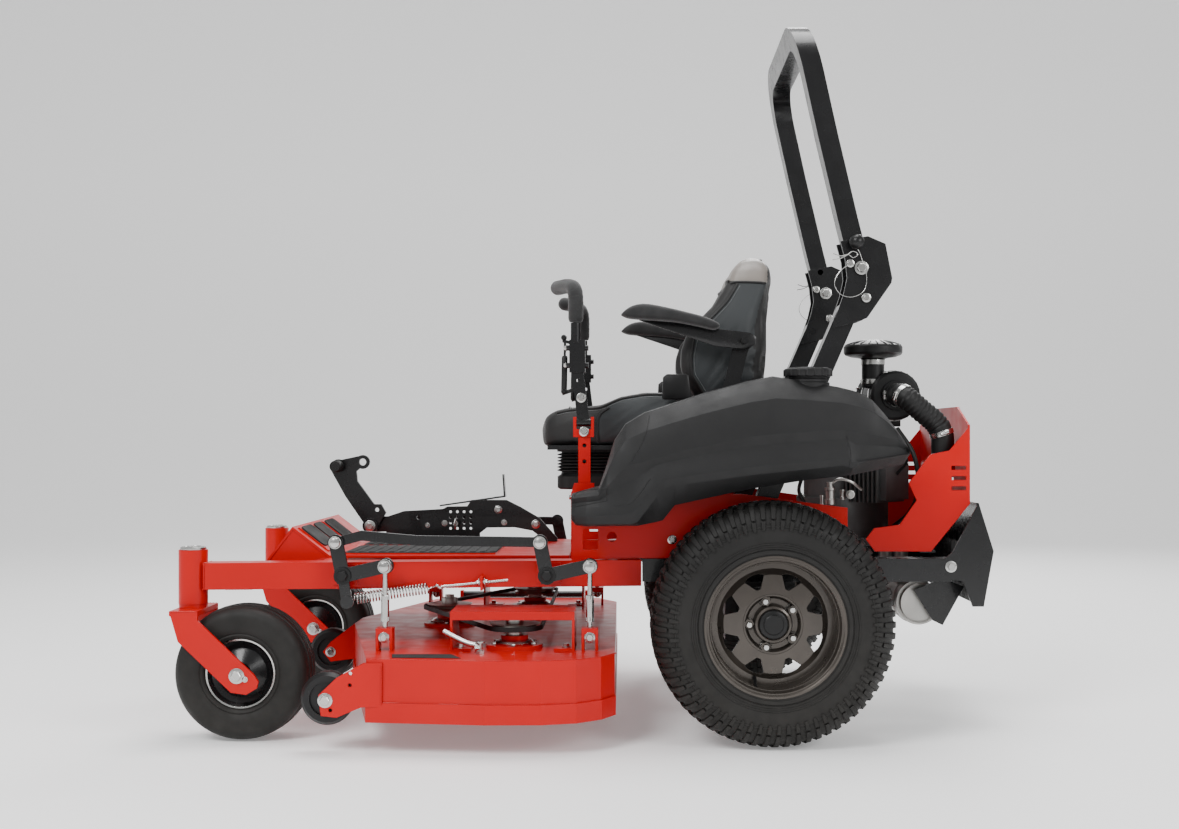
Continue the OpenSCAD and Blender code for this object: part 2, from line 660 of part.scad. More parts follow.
module roller(x, y, z) stand(x, y, z) difference() {
  rotate_extrude() polygon([[0, -24], [22, -24], [22, -18], [roller_r - 22, -18], [roller_r - 22, -24],
    [roller_r - 8, -24], [roller_r, -14], [roller_r, 14], [roller_r - 8, 24], [roller_r - 22, 24],
    [roller_r - 22, 18], [22, 18], [22, 24], [0, 24]]);
  cylinder(h = 100, r = pin_r + fit, center = true);
}
module roller_left() mc() color(rubber) roller(-612, -600, 128);
module roller_centre() mc() color(rubber) roller(-740, 100, 137);
module roller_right() mc() color(rubber) roller(-612, 600, 128);

main_frame();
rear_frame();
engine_guard();
foot_platform();
tank_left();
tank_right();
console();
engine();
air_cleaner();
intake_hose();
muffler();
seat_base();
transaxles();
rops_legs();
frame_bolts();
height_plate();
caster_fork_left();
caster_fork_right();
caster_tyre_left();
caster_tyre_right();
caster_rim_left();
caster_rim_right();
drive_tyre_left();
drive_tyre_right();
drive_rim_left();
drive_rim_right();
lever_base_left();
lever_base_right();
lever_left();
lever_right();
grip_left();
grip_right();
rops_hoop();
lock_pin_left();
lock_pin_right();
seat_pan();
seat_cushion();
seat_back();
armrest_left();
armrest_right();
crank_front_left();
crank_front_right();
crank_rear_left();
crank_rear_right();
drag_link_left();
drag_link_right();
lift_pedal();
height_pin();
deck_shell();
deck_hangers();
blade_left();
blade_centre();
blade_right();
discharge_deflector();
roller_left();
roller_centre();
roller_right();
fuel_cap();
pto_knob();
throttle_lever();
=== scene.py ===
import math

import bmesh
import bpy
import numpy as np
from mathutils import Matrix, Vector, noise
from mathutils.bvhtree import BVHTree


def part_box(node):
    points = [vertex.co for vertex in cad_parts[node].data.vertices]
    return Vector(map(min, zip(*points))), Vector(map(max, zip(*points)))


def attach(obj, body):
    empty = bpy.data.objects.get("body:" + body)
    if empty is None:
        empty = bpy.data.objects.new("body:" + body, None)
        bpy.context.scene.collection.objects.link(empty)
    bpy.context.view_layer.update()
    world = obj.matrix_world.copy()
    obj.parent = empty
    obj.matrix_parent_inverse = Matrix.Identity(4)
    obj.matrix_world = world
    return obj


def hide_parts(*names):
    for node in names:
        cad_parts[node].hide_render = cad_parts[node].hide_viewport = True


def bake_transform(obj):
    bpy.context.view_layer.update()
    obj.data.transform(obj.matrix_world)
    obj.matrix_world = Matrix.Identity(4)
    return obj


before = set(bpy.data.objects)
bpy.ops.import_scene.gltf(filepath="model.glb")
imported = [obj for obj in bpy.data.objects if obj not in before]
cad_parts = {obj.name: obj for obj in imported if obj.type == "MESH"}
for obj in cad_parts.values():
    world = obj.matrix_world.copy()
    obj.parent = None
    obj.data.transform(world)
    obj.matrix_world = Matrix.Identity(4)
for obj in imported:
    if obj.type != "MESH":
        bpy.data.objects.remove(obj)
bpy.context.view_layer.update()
MM = 0.001
FRAME_LO, FRAME_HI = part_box("main_frame")
MID = (FRAME_LO.y + FRAME_HI.y) / 2     # y of the machine's centre plane, in metres
X, Y, Z = Vector((1, 0, 0)), Vector((0, 1, 0)), Vector((0, 0, 1))


def at(x, y, z):
    """Millimetres from the machine's centre plane to a point of the frame, in metres."""
    return Vector((x * MM, MID + y * MM, z * MM))


def link_object(name, data):
    ob = bpy.data.objects.new(name, data)
    bpy.context.scene.collection.objects.link(ob)
    return ob


def skin(bm, rows, ring=True, closed=False):
    """Faces between neighbouring rows of vertices. ring joins the two ends of each row, and closed joins
    the last row to the first."""
    n = len(rows[0])
    for a, b in zip(rows, rows[1:] + (rows[:1] if closed else [])):
        for i in range(n if ring else n - 1):
            j = (i + 1) % n
            bm.faces.new((a[i], a[j], b[j], b[i]))


# ---------------------------------------------------------------- camera, floor and light
CAMERA_PLACE = at(77, -4000, 735)       # level view from the left
CAMERA_LENS = 44.37
FLOOR_REACH, WALL_CURVE, WALL_TOP, FLOOR_SIDE = 9.0, 3.0, 12.0, 16     # metres


def make_camera():
    cam = bpy.data.cameras.new("camera")
    cam.lens, cam.sensor_width = CAMERA_LENS, 36
    cam.shift_x, cam.shift_y = -0.0284, 0.0199
    cam.clip_start, cam.clip_end = 0.05, 60
    ob = link_object("camera", cam)
    ob.location = CAMERA_PLACE
    ob.rotation_euler = (math.radians(90), 0, 0)
    bpy.context.scene.camera = ob


def area_light(name, place, aim, size, power):
    data = bpy.data.lights.new(name, "AREA")
    data.shape, data.size, data.energy = "DISK", size, power
    ob = link_object(name, data)
    ob.location = place
    ob.rotation_euler = (Vector(aim) - Vector(place)).to_track_quat("-Z", "Y").to_euler()


LIGHTS = [("key", (-2.6, -4.2, 4.4), (0, 0, 0.7), 2.4, 235),        # name, place, aim, size, power
          ("fill", (3.6, -3.6, 2.6), (0.2, 0, 0.6), 2.2, 110),
          ("top", (0.2, 0.4, 5.2), (0, 0, 0), 3.0, 190),
          ("rim", (1.5, 4.6, 3.4), (0, 0, 0.8), 2.4, 130)]


def make_stage():
    world = bpy.data.worlds.new("studio")
    bpy.context.scene.world = world
    world.use_nodes = True
    back = world.node_tree.nodes["Background"]
    back.inputs["Color"].default_value = (1, 1, 1, 1)
    back.inputs["Strength"].default_value = 0.55
    bm = bmesh.new()
    outline = [(-FLOOR_REACH, 0.0)]
    outline += [(FLOOR_REACH - WALL_CURVE * (1 - math.sin(a)), WALL_CURVE * (1 - math.cos(a)))
                for a in np.linspace(0, math.pi / 2, 16)]
    outline.append((FLOOR_REACH, WALL_TOP))
    skin(bm, [[bm.verts.new((x, y, z)) for x in (-FLOOR_SIDE, FLOOR_SIDE)] for y, z in outline],
         ring=False)
    mesh = bpy.data.meshes.new("floor")
    bm.to_mesh(mesh)
    mesh.shade_smooth()
    floor = link_object("floor", mesh)
    mat = bpy.data.materials.new("floor")
    mat.use_nodes = True
    shader = mat.node_tree.nodes["Principled BSDF"]
    shader.inputs["Base Color"].default_value = (0.92, 0.92, 0.92, 1)
    shader.inputs["Roughness"].default_value = 0.9
    shader.inputs["Emission Color"].default_value = (1, 1, 1, 1)
    shader.inputs["Emission Strength"].default_value = 0.22
    mesh.materials.append(mat)
    for light in LIGHTS:
        area_light(*light)


make_camera()
make_stage()


# ---------------------------------------------------------------- materials
def material(name, colour, rough, metal=0.0, grain=900, bump=0.08, vary=0.12, coat=0.0,
             leather=False, dust=0.0, sheen=0.0, edge=1.2, stripes=None, gloss=0.5):
    """Procedural finish: two scales of colour change, roughness that varies, fine bump and rounded edges.
    edge is the radius of the rounded edges in mm; dust lightens the lowest part; stripes is a second colour;
    gloss is the strength of the mirror-like part."""
    mat = bpy.data.materials.new(name)
    mat.use_nodes = True
    tree = mat.node_tree
    nodes, link = tree.nodes, tree.links.new
    shader = nodes["Principled BSDF"]
    place = nodes.new("ShaderNodeTexCoord").outputs["Object"]

    def texture(kind, scale, detail=2.0):
        node = nodes.new(kind)
        node.inputs["Scale"].default_value = scale
        if kind == "ShaderNodeTexNoise":
            node.inputs["Detail"].default_value = detail
        link(place, node.inputs["Vector"])
        return node

    def spread(source, low, high, from_low=0.3, from_high=0.7):
        node = nodes.new("ShaderNodeMapRange")
        node.inputs["From Min"].default_value = from_low
        node.inputs["From Max"].default_value = from_high
        node.inputs["To Min"].default_value = low
        node.inputs["To Max"].default_value = high
        link(source, node.inputs["Value"])
        return node.outputs["Result"]

    def blend(share, a, b):
        node = nodes.new("ShaderNodeMix")
        node.data_type = "RGBA"
        link(share, node.inputs["Factor"])
        for socket, value in (("A", a), ("B", b)):
            where = [i for i in node.inputs if i.name == socket and i.type == "RGBA"][0]
            if isinstance(value, tuple):
                where.default_value = (*value, 1)
            else:
                link(value, where)
        return [o for o in node.outputs if o.type == "RGBA"][0]

    dark = tuple(c * (1 - vary) for c in colour)
    light = tuple(min(1.0, c * (1 + vary)) for c in colour)
    patches = texture("ShaderNodeTexNoise", 6, 4.0).outputs["Fac"]
    tone = blend(spread(patches, 0, 1), dark, light)
    if stripes:
        wave = texture("ShaderNodeTexWave", 38)
        wave.inputs["Distortion"].default_value = 3.0
        tone = blend(spread(wave.outputs["Fac"], 0, 1, 0.55, 0.7), tone, stripes)
    if dust:
        split = nodes.new("ShaderNodeSeparateXYZ")
        link(place, split.inputs["Vector"])
        low = spread(split.outputs["Z"], dust, 0, 0.0, 0.5)
        speck = texture("ShaderNodeTexNoise", 40, 6.0).outputs["Fac"]
        both = nodes.new("ShaderNodeMath")
        both.operation = "MULTIPLY"
        link(low, both.inputs[0])
        link(speck, both.inputs[1])
        tone = blend(both.outputs["Value"], tone, (0.30, 0.27, 0.23))
    link(tone, shader.inputs["Base Color"])
    smear = texture("ShaderNodeTexNoise", 22, 5.0).outputs["Fac"]
    link(spread(smear, max(0.02, rough * 0.82), min(1, rough * 1.2)), shader.inputs["Roughness"])
    shader.inputs["Metallic"].default_value = metal
    shader.inputs["Specular IOR Level"].default_value = gloss
    shader.inputs["Coat Weight"].default_value = coat
    shader.inputs["Coat Roughness"].default_value = 0.06
    shader.inputs["Sheen Weight"].default_value = sheen
    if leather:
        fine = texture("ShaderNodeTexVoronoi", grain)
        height = fine.outputs["Distance"]
    else:
        height = texture("ShaderNodeTexNoise", grain, 3.0).outputs["Fac"]
    relief = nodes.new("ShaderNodeBump")
    relief.inputs["Strength"].default_value = bump
    relief.inputs["Distance"].default_value = 0.001
    link(height, relief.inputs["Height"])
    if edge:
        rounded = nodes.new("ShaderNodeBevel")
        rounded.samples = 3
        rounded.inputs["Radius"].default_value = edge * MM
        link(rounded.outputs["Normal"], relief.inputs["Normal"])
    link(relief.outputs["Normal"], shader.inputs["Normal"])
    return mat


MAT = {
    "red": material("red_powder_coat", (0.50, 0.0, 0.0), 0.34, grain=700, bump=0.08, vary=0.05,
                    coat=0.06, edge=1.6, gloss=0.22),
    "black": material("black_powder_coat", (0.005, 0.005, 0.0055), 0.26, grain=800, bump=0.10,
                      vary=0.25, coat=0.20, edge=1.6, gloss=0.35),
    "charcoal": material("textured_charcoal_plastic", (0.0085, 0.0085, 0.0088), 0.48, grain=1500,
                         bump=0.35, vary=0.10, edge=2.5, gloss=0.28),
    "plastic": material("moulded_black_plastic", (0.006, 0.006, 0.0063), 0.38, grain=1200, bump=0.18,
                        vary=0.15, edge=1.2, gloss=0.32),
    "tyre": material("tyre_rubber", (0.0075, 0.0071, 0.0066), 0.60, grain=420, bump=0.30, vary=0.22,
                     dust=0.06, edge=1.2, gloss=0.30),
    "rubber": material("soft_black_rubber", (0.007, 0.007, 0.007), 0.50, grain=900, bump=0.25,
                       vary=0.15, edge=1.0, gloss=0.32),
    "foam": material("grip_foam", (0.010, 0.010, 0.0105), 0.85, grain=2600, bump=0.55, vary=0.12,
                     sheen=0.25, edge=0),
    "bronze": material("rim_bronze_enamel", (0.060, 0.051, 0.044), 0.31, metal=0.70, grain=900,
                       bump=0.12, vary=0.10, coat=0.25, dust=0.15),
    "zinc": material("zinc_plate", (0.50, 0.50, 0.485), 0.25, metal=1.0, grain=500, bump=0.12,
                     vary=0.10, edge=0.6),
    "steel": material("bare_steel", (0.42, 0.41, 0.39), 0.38, metal=1.0, grain=260, bump=0.18,
                      vary=0.18, edge=0.8),
    "cast": material("cast_alloy", (0.10, 0.10, 0.10), 0.50, metal=0.55, grain=500, bump=0.45,
                     vary=0.20),
    "vinyl": material("dark_vinyl", (0.010, 0.0097, 0.0097), 0.46, grain=950, bump=0.32, vary=0.10,
                      leather=True, sheen=0.05, edge=0, gloss=0.35),
    "vinyl_grey": material("grey_vinyl", (0.030, 0.034, 0.036), 0.46, grain=950, bump=0.32,
                           vary=0.07, leather=True, sheen=0.05, edge=0, gloss=0.35),
    "vinyl_light": material("taupe_vinyl", (0.20, 0.178, 0.158), 0.36, grain=950, bump=0.22,
                            vary=0.06, leather=True, edge=0),
    "panel": material("woven_panel", (0.060, 0.057, 0.055), 0.70, grain=1800, bump=0.60, vary=0.25,
                      stripes=(0.16, 0.02, 0.02), edge=0),
    "thread": material("thread", (0.22, 0.23, 0.23), 0.60, grain=3000, bump=0.5, vary=0.1, edge=0),
    "grip_tape": material("grip_tape", (0.018, 0.018, 0.018), 0.9, grain=1400, bump=0.9, vary=0.3,
                          edge=0),
    "yellow": material("yellow_plastic", (0.75, 0.42, 0.02), 0.35, bump=0.10, edge=1.0),
}

NODE_LOOKS = {
    "red": ["main_frame", "engine_guard", "foot_platform", "deck_shell", "caster_fork_left",
            "caster_fork_right", "lever_base_left", "lever_base_right"],
    "black": ["rear_frame", "rops_legs", "rops_hoop", "height_plate", "lift_pedal", "seat_pan",
              "crank_front_left", "crank_front_right", "crank_rear_left", "crank_rear_right",
              "drag_link_left", "drag_link_right", "lever_left", "lever_right",
              "caster_rim_left", "caster_rim_right", "discharge_deflector"],
    "plastic": ["console", "air_cleaner", "fuel_cap", "throttle_lever", "lock_pin_left",
                "lock_pin_right", "roller_left", "roller_centre", "roller_right"],
    "bronze": ["drive_rim_left", "drive_rim_right"],
    "zinc": ["frame_bolts", "height_pin", "deck_hangers"],
    "steel": ["muffler", "blade_left", "blade_centre", "blade_right"],
    "cast": ["engine", "transaxles"],
    "yellow": ["pto_knob"],
    "rubber": ["intake_hose"],
}


def dress_nodes():
    for look, names in NODE_LOOKS.items():
        for name in names:
            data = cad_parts[name].data
            data.materials.clear()
            data.materials.append(MAT[look])


dress_nodes()


# ---------------------------------------------------------------- mesh tools
def merge(target, part):
    """Adds one bmesh to another."""
    mesh = bpy.data.meshes.new("part")
    part.to_mesh(mesh)
    part.free()
    target.from_mesh(mesh)
    bpy.data.meshes.remove(mesh)


def soften(bm, width, angle=30):
    """Rounds every edge of a bmesh that turns by more than angle, width in mm."""
    bm.normal_update()
    sharp = [e for e in bm.edges if e.is_manifold and e.calc_face_angle(0) > math.radians(angle)]
    bmesh.ops.bevel(bm, geom=sharp, offset=width * MM, segments=2, profile=0.5,
                    affect="EDGES", clamp_overlap=True)


def put(name, bm, mats, body, *nodes, smooth=32, soft=False, slot=None):
    """Makes a piece that rides on a body and replaces nodes. mats is one material name or several, used by
    face index; smooth is the angle in degrees up to which edges look round; soft adds one subdivision; slot
    is not used. A piece with no body is left without a parent."""
    mats = [mats] if isinstance(mats, str) else mats
    bmesh.ops.recalc_face_normals(bm, faces=bm.faces)
    mesh = bpy.data.meshes.new(name)
    bm.to_mesh(mesh)
    bm.free()
    for m in mats:
        mesh.materials.append(MAT[m])
    mesh.shade_smooth()
    if smooth < 180:
        mesh.set_sharp_from_angle(angle=math.radians(smooth))
    ob = link_object(name, mesh)
    if soft:
        subdivide = ob.modifiers.new("subdivide", "SUBSURF")
        subdivide.levels = subdivide.render_levels = 1
    if body:
        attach(ob, body)
    if nodes:
        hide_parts(*nodes)
    return ob


def loft(rings):
    """Closed skin through rings of points that all have the same count."""
    bm = bmesh.new()
    rows = [[bm.verts.new(p) for p in ring] for ring in rings]
    skin(bm, rows)
    bm.faces.new(rows[0])
    bm.faces.new(rows[-1][::-1])
    bmesh.ops.recalc_face_normals(bm, faces=bm.faces)
    return bm


def slab(bm, points, y0, y1, edge=1.5):
    """Plate with a side-view outline in mm, between two distances from the centre plane."""
    part = loft([[at(x, y, z) for x, z in points] for y in (y0, y1)])
    soften(part, edge)
    merge(bm, part)


def block(bm, x0, x1, y0, y1, z0, z1, edge=1.5):
    slab(bm, [(x0, z0), (x1, z0), (x1, z1), (x0, z1)], y0, y1, edge)


def frame_of(axis):
    """Two directions square to an axis."""
    axis = Vector(axis).normalized()
    side = axis.cross(Z if abs(axis.z) < 0.9 else X).normalized()
    return side, axis.cross(side)


def around(count, start=0, u=X, v=Y):
    """Directions spaced evenly round a circle from u towards v, from an angle in degrees."""
    angles = [math.radians(start + 360 * k / count) for k in range(count)]
    return [u * math.cos(a) + v * math.sin(a) for a in angles]


def lathe(bm, profile, centre, axis=Y, sides=48, closed=False):
    """Turned shape: profile is (radius, distance along the axis) in mm."""
    axis = Vector(axis).normalized()
    rings = [[bm.verts.new(centre + (d * r + axis * h) * MM) for r, h in profile]
             for d in around(sides, 0, *frame_of(axis))]
    skin(bm, rings, ring=closed, closed=True)
    bmesh.ops.remove_doubles(bm, verts=[v for r in rings for v in r], dist=1e-6)


def smooth_path(points, count):
    """Catmull-Rom curve through points, with count points along it."""
    p = [np.array(q, float) for q in points]
    p = [2 * p[0] - p[1]] + p + [2 * p[-1] - p[-2]]
    out = []
    for t in np.linspace(0, len(points) - 1, count):
        i = min(int(t), len(points) - 2)
        f = t - i
        a, b, c, d = p[i:i + 4]
        out.append(0.5 * (2 * b + (c - a) * f + (2 * a - 5 * b + 4 * c - d) * f * f
                          + (3 * b - a - 3 * c + d) * f ** 3))
    return [Vector(q) for q in out]


def tube(bm, points, radius, sides=12):
    """Round tube along points in metres. radius is in mm, one number or one for each point."""
    radii = radius if hasattr(radius, "__len__") else [radius] * len(points)
    ahead, behind = points[1:] + points[-1:], points[:1] + points[:-1]
    direction = [(a - b).normalized() for a, b in zip(ahead, behind)]
    side = frame_of(direction[0])[0]
    rings = []
    for p, d, r in zip(points, direction, radii):
        side = (side - d * side.dot(d)).normalized()
        rings.append([bm.verts.new(p + out * r * MM) for out in around(sides, 0, side, d.cross(side))])
    skin(bm, rings)
    bm.faces.new(rings[0][::-1])
    bm.faces.new(rings[-1])


def bolt(bm, centre, axis, r=9, h=6, washer=True):
    """Hexagon head with a chamfered top on a washer, standing out along axis."""
    if washer:
        lathe(bm, [(r * 0.5, 0), (r * 1.45, 0), (r * 1.45, 1.4), (r * 1.35, 1.8), (0.01, 1.8)],
              centre, axis, 20)
    head = bmesh.new()
    lathe(head, [(0.01, 1.5), (r, 1.5), (r, h + 0.5), (r * 0.86, h + 1.8), (0.01, h + 1.8)],
          centre, axis, 6)
    merge(bm, head)


def mirrored(bm):
    """A copy on the other side of the centre plane."""
    copy = bm.copy()
    for v in copy.verts:
        v.co.y = 2 * MID - v.co.y
    bmesh.ops.reverse_faces(copy, faces=copy.faces)
    return copy


def sided(name, make, mats, body, *nodes, **looks):
    """Builds a piece for each side. {} in the names becomes left or right."""
    for side, bm in (("left", make()), ("right", mirrored(make()))):
        put(name.format(side), bm, mats, body.format(side), *[n.format(side) for n in nodes], **looks)


def level(line, x):
    """Height of a broken line of (x, z) points at x."""
    return float(np.interp(x, [p[0] for p in line], [p[1] for p in line]))


# ---------------------------------------------------------------- tank shells
TANK_LOW = [(-48, 540), (-34, 524), (112, 526), (171, 538), (200, 575), (300, 597), (377, 613),
            (491, 632), (628, 648), (748, 672), (759, 692)]
TANK_LIP = [(-48, 545), (-34, 530), (100, 532), (111, 536), (174, 619), (376, 647), (600, 670),
            (615, 662), (640, 674), (759, 697)]
TANK_BAND = [(-48, 566), (94, 580), (148, 644), (157, 653), (376, 687), (609, 703), (625, 684),
             (640, 684), (759, 699)]
TANK_WAIST = [(-48, 590), (20, 600), (85, 668), (227, 707), (376, 738), (503, 750), (595, 755),
              (740, 728), (759, 702)]
TANK_TOP = [(-46, 601), (22, 620), (56, 730), (83, 770), (128, 797), (274, 845), (381, 874),
            (439, 885), (589, 861), (637, 849), (674, 829), (707, 793), (748, 730), (759, 704)]
TANK_X = [-46, -36, -10, 20, 38, 56, 70, 83, 100, 112, 128, 148, 157, 172, 200, 227, 274, 330, 376,
          439, 503, 545, 595, 609, 618, 628, 640, 655, 674, 692, 707, 728, 748, 758]


def tank_shell():
    """Outer skin of a fender tank, lofted through cross sections along the machine."""
    rings = []
    for x in TANK_X:
        low, lip, band = level(TANK_LOW, x), level(TANK_LIP, x), level(TANK_BAND, x)
        waist, top = level(TANK_WAIST, x), level(TANK_TOP, x)
        ends = min(1, (x + 48) / 60, (760 - x) / 130)
        swell = math.sin(max(0, ends) * math.pi / 2)
        hood = max(0.0, min(1.0, (top - waist) / 60))
        half = 562 + 24 * swell
        shoulder = half - 12 - 52 * hood
        section = [(364, low + 8), (half - 42, low), (half - 8, lip), (half, (lip + band) / 2),
                   (half - 5, band), (half - 14, band + 0.55 * (waist - band)), (half - 3, waist),
                   (half - 16, waist + 0.6 * (top - waist)), (shoulder, top - 3),
                   (shoulder - 45, top), (400, top - 2), (364, top - 10)]
        rings.append([at(x, -y, z) for y, z in section])
    bm = loft(rings)
    soften(bm, 3.5, 14)
    return bm


TANK_CREASES = [
    [(-36, 575), (-34, 603), (34, 616), (38, 610), (38, 590), (34, 586), (-36, 572)],
    [(58, 575), (92, 579), (104, 588), (121, 609), (143, 640)],
    [(96, 676), (128, 735), (140, 786)],
    [(610, 668), (612, 700), (604, 742)]]


def tank_creases(shell):
    """Fine moulded lines that follow the outer face of a fender tank."""
    tree = BVHTree.FromBMesh(shell)
    bm = bmesh.new()
    for line in TANK_CREASES:
        path = smooth_path([Vector((x, 0, z)) for x, z in line], 8 * len(line))
        hits = [tree.ray_cast(at(p.x, -700, p.z), Y)[0] for p in path]
        tube(bm, [h + Y * 0.7 * MM for h in hits if h], 1.5, 8)
    return bm


FILLER = at(525, -480, 0)       # axis of the filler neck


def make_tanks():
    for side in ("left", "right"):
        bm = tank_shell()
        lines = tank_creases(bm)
        if side == "left":
            for r, z in ((52, 868), (49, 876)):
                lathe(bm, [(0.1, z - 20), (r, z - 20), (r, z), (r - 3, z + 2), (0.1, z + 2)], FILLER, Z)
            lathe(bm, [(44, 850), (46, 852), (46, 897), (44, 899), (0.1, 899)], FILLER, Z)
        else:
            bm, lines = mirrored(bm), mirrored(lines)
        put("tank_creases_" + side, lines, "charcoal", "chassis")
        put("tank_shell_" + side, bm, "charcoal", "chassis", "tank_" + side, smooth=24)


make_tanks()


def make_cap():
    bm = bmesh.new()
    lathe(bm, [(47.5, 884), (57, 884), (58, 886), (58, 899), (56, 902), (50, 903), (48, 905.6),
               (30, 905.9), (0.1, 905.9)], FILLER, Z, 72)
    for d in around(18):
        lathe(bm, [(0.1, 885), (3.4, 885), (3.4, 899), (0.1, 899)], FILLER + d * 56.4 * MM, Z, 8)
    lathe(bm, [(16, 905), (20, 905), (20, 906), (16, 906)], FILLER, Z, closed=True)
    for d in around(6, 12):
        lathe(bm, [(0.1, 902.5), (5.5, 902.5), (5.5, 905.8), (0.1, 905.8)], FILLER + d * 40 * MM, Z, 8)
    put("filler_cap", bm, "plastic", "filler_cap", "fuel_cap")


make_cap()


# ---------------------------------------------------------------- tyres
TYRE_CROWN = 3.0        # mm that the tread's middle stands above its edges


def tyre_surface(outer, half, corner):
    """A function from arc length across the tyre to (distance along the axle, radius), with an outward
    offset, and the arc length where the side wall starts."""
    flat, arc = half - corner, corner * math.pi / 2

    def point(u, h=0.0):
        s, sign = abs(u), (1 if u >= 0 else -1)
        if s <= flat:
            return sign * s, outer - TYRE_CROWN * (s / flat) ** 2 + h
        if s <= flat + arc:
            a = (s - flat) / corner
            return (sign * (flat + math.sin(a) * (corner + h)),
                    outer - TYRE_CROWN - corner + math.cos(a) * (corner + h))
        down = s - flat - arc
        return sign * (half + h), outer - TYRE_CROWN - corner - down
    return point, flat + arc


def ring_point(centre, along, radius, turn):
    return centre + Vector((radius * math.cos(turn), along, radius * math.sin(turn))) * MM


def lug(bm, centre, surface, outer, outline, height, steps=2):
    """Rubber block standing on a tyre. outline is ((u, s left, s right), ...) across the tyre."""
    rows = []
    us = [o[0] for o in outline]
    widths = [abs(u) for u in us]
    for i in range(steps + 1):
        u = us[0] + (us[-1] - us[0]) * i / steps
        left, right = (np.interp(abs(u), widths, [o[k] for o in outline]) for k in (1, 2))
        corners = []
        for h, grow in ((-2, 2.2), (height - 1.2, 0.4), (height, -0.6)):
            inset = 1.6 if i in (0, steps) else 0
            shift = (grow - 0.4) * (1 if i == steps else -1 if i == 0 else 0)
            y, r = surface(u + shift, h - (inset if h == height else 0))
            corners += [ring_point(centre, y, r, (left - grow) / outer),
                        ring_point(centre, y, r, (right + grow) / outer)]
        rows.append([bm.verts.new(corners[k]) for k in (0, 2, 4, 5, 3, 1)])
    skin(bm, rows)
    bm.faces.new(rows[0])
    bm.faces.new(rows[-1][::-1])


def round_box(node):
    """Centre of a wheel's node in metres, and its radius and half width in mm."""
    lo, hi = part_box(node)
    return (lo + hi) / 2, (hi.x - lo.x) / 2 / MM, (hi.y - lo.y) / 2 / MM


LUG_HEIGHT, TYRE_CORNER, LUG_COUNT = 9, 50, 68
SIDE_WALL = 62          # mm of side wall between the shoulder and the bead


def drive_tyre(side):
    centre, outer, half = round_box("drive_tyre_" + side)
    surface, edge = tyre_surface(outer - LUG_HEIGHT + 2, half - 8, TYRE_CORNER)
    bm = bmesh.new()
    profile = [(167, -half + 14), (172, -half + 9), (182, -half + 7)]
    profile += [surface(u)[::-1] for u in np.linspace(-edge - SIDE_WALL, edge + SIDE_WALL, 49)]
    profile += [(182, half - 7), (172, half - 9), (167, half - 14)]
    lathe(bm, profile, centre, Y, 120)
    for sign in (-1, 1):
        for r, h in ((236, 1.8), (196, 2.4), (186, 2.0)):
            lathe(bm, [(r - 3, (half - 8.5) * sign), (r - 1.4, (half - 8 + h) * sign),
                       (r + 1.4, (half - 8 + h) * sign), (r + 3, (half - 8.5) * sign)], centre, Y, 120)
    pitch = 2 * math.pi * outer / LUG_COUNT
    for k in range(LUG_COUNT):
        s = k * pitch
        for sign in (-1, 1):
            t = s + (pitch / 2 if sign > 0 else 0)
            rows = (((44, -10, 3), (60, -6, 7), (74, -5, 8)),
                    ((80, -2, 9), (edge - 34, 0, 11), (edge - 22, 2, 12)),
                    ((edge - 17, 2, 13), (edge - 8, 4, 14), (edge + 3, 6, 13)))
            for row, drop in zip(rows, (1, 2, 3.2)):
                lug(bm, centre, surface, outer, [(sign * u, t + a, t + b) for u, a, b in row],
                    LUG_HEIGHT - drop)
            lug(bm, centre, surface, outer,
                [(sign * 4, t - 13, t - 1), (sign * 22, t - 8, t + 5), (sign * 40, t - 10, t + 2)],
                LUG_HEIGHT - 1.2)
    put("drive_tyre_tread_" + side, bm, "tyre", "drive_wheel_" + side, "drive_tyre_" + side,
        smooth=35)


def caster_tyre(side):
    centre, outer, half = round_box("caster_tyre_" + side)
    bm = bmesh.new()
    profile = [(85, -half + 12), (88, -half + 8), (94, -half + 6), (97, -half + 8), (100, -half + 5),
               (118, -half + 1.5), (134, -half + 2)]
    for a in np.linspace(0, math.pi / 2, 9):
        profile.append((outer - 31 + 27 * math.sin(a), -half + 30 - 28 * math.cos(a)))
    for y in (-26, 0, 26):
        profile += [(outer - 1 - 0.002 * y * y, y - 9), (outer - 5, y - 7), (outer - 5, y - 3),
                    (outer - 0.4 - 0.002 * y * y, y - 1)]
    right = [(r, -y) for r, y in profile[:16]][::-1]
    lathe(bm, profile + right, centre, Y, 96)
    put("caster_tyre_skin_" + side, bm, "tyre", "caster_wheel_" + side, "caster_tyre_" + side,
        smooth=40)


for hand in ("left", "right"):
    drive_tyre(hand)
    caster_tyre(hand)


# ---------------------------------------------------------------- wheels' trim
VALVE_TURN = math.radians(-112)


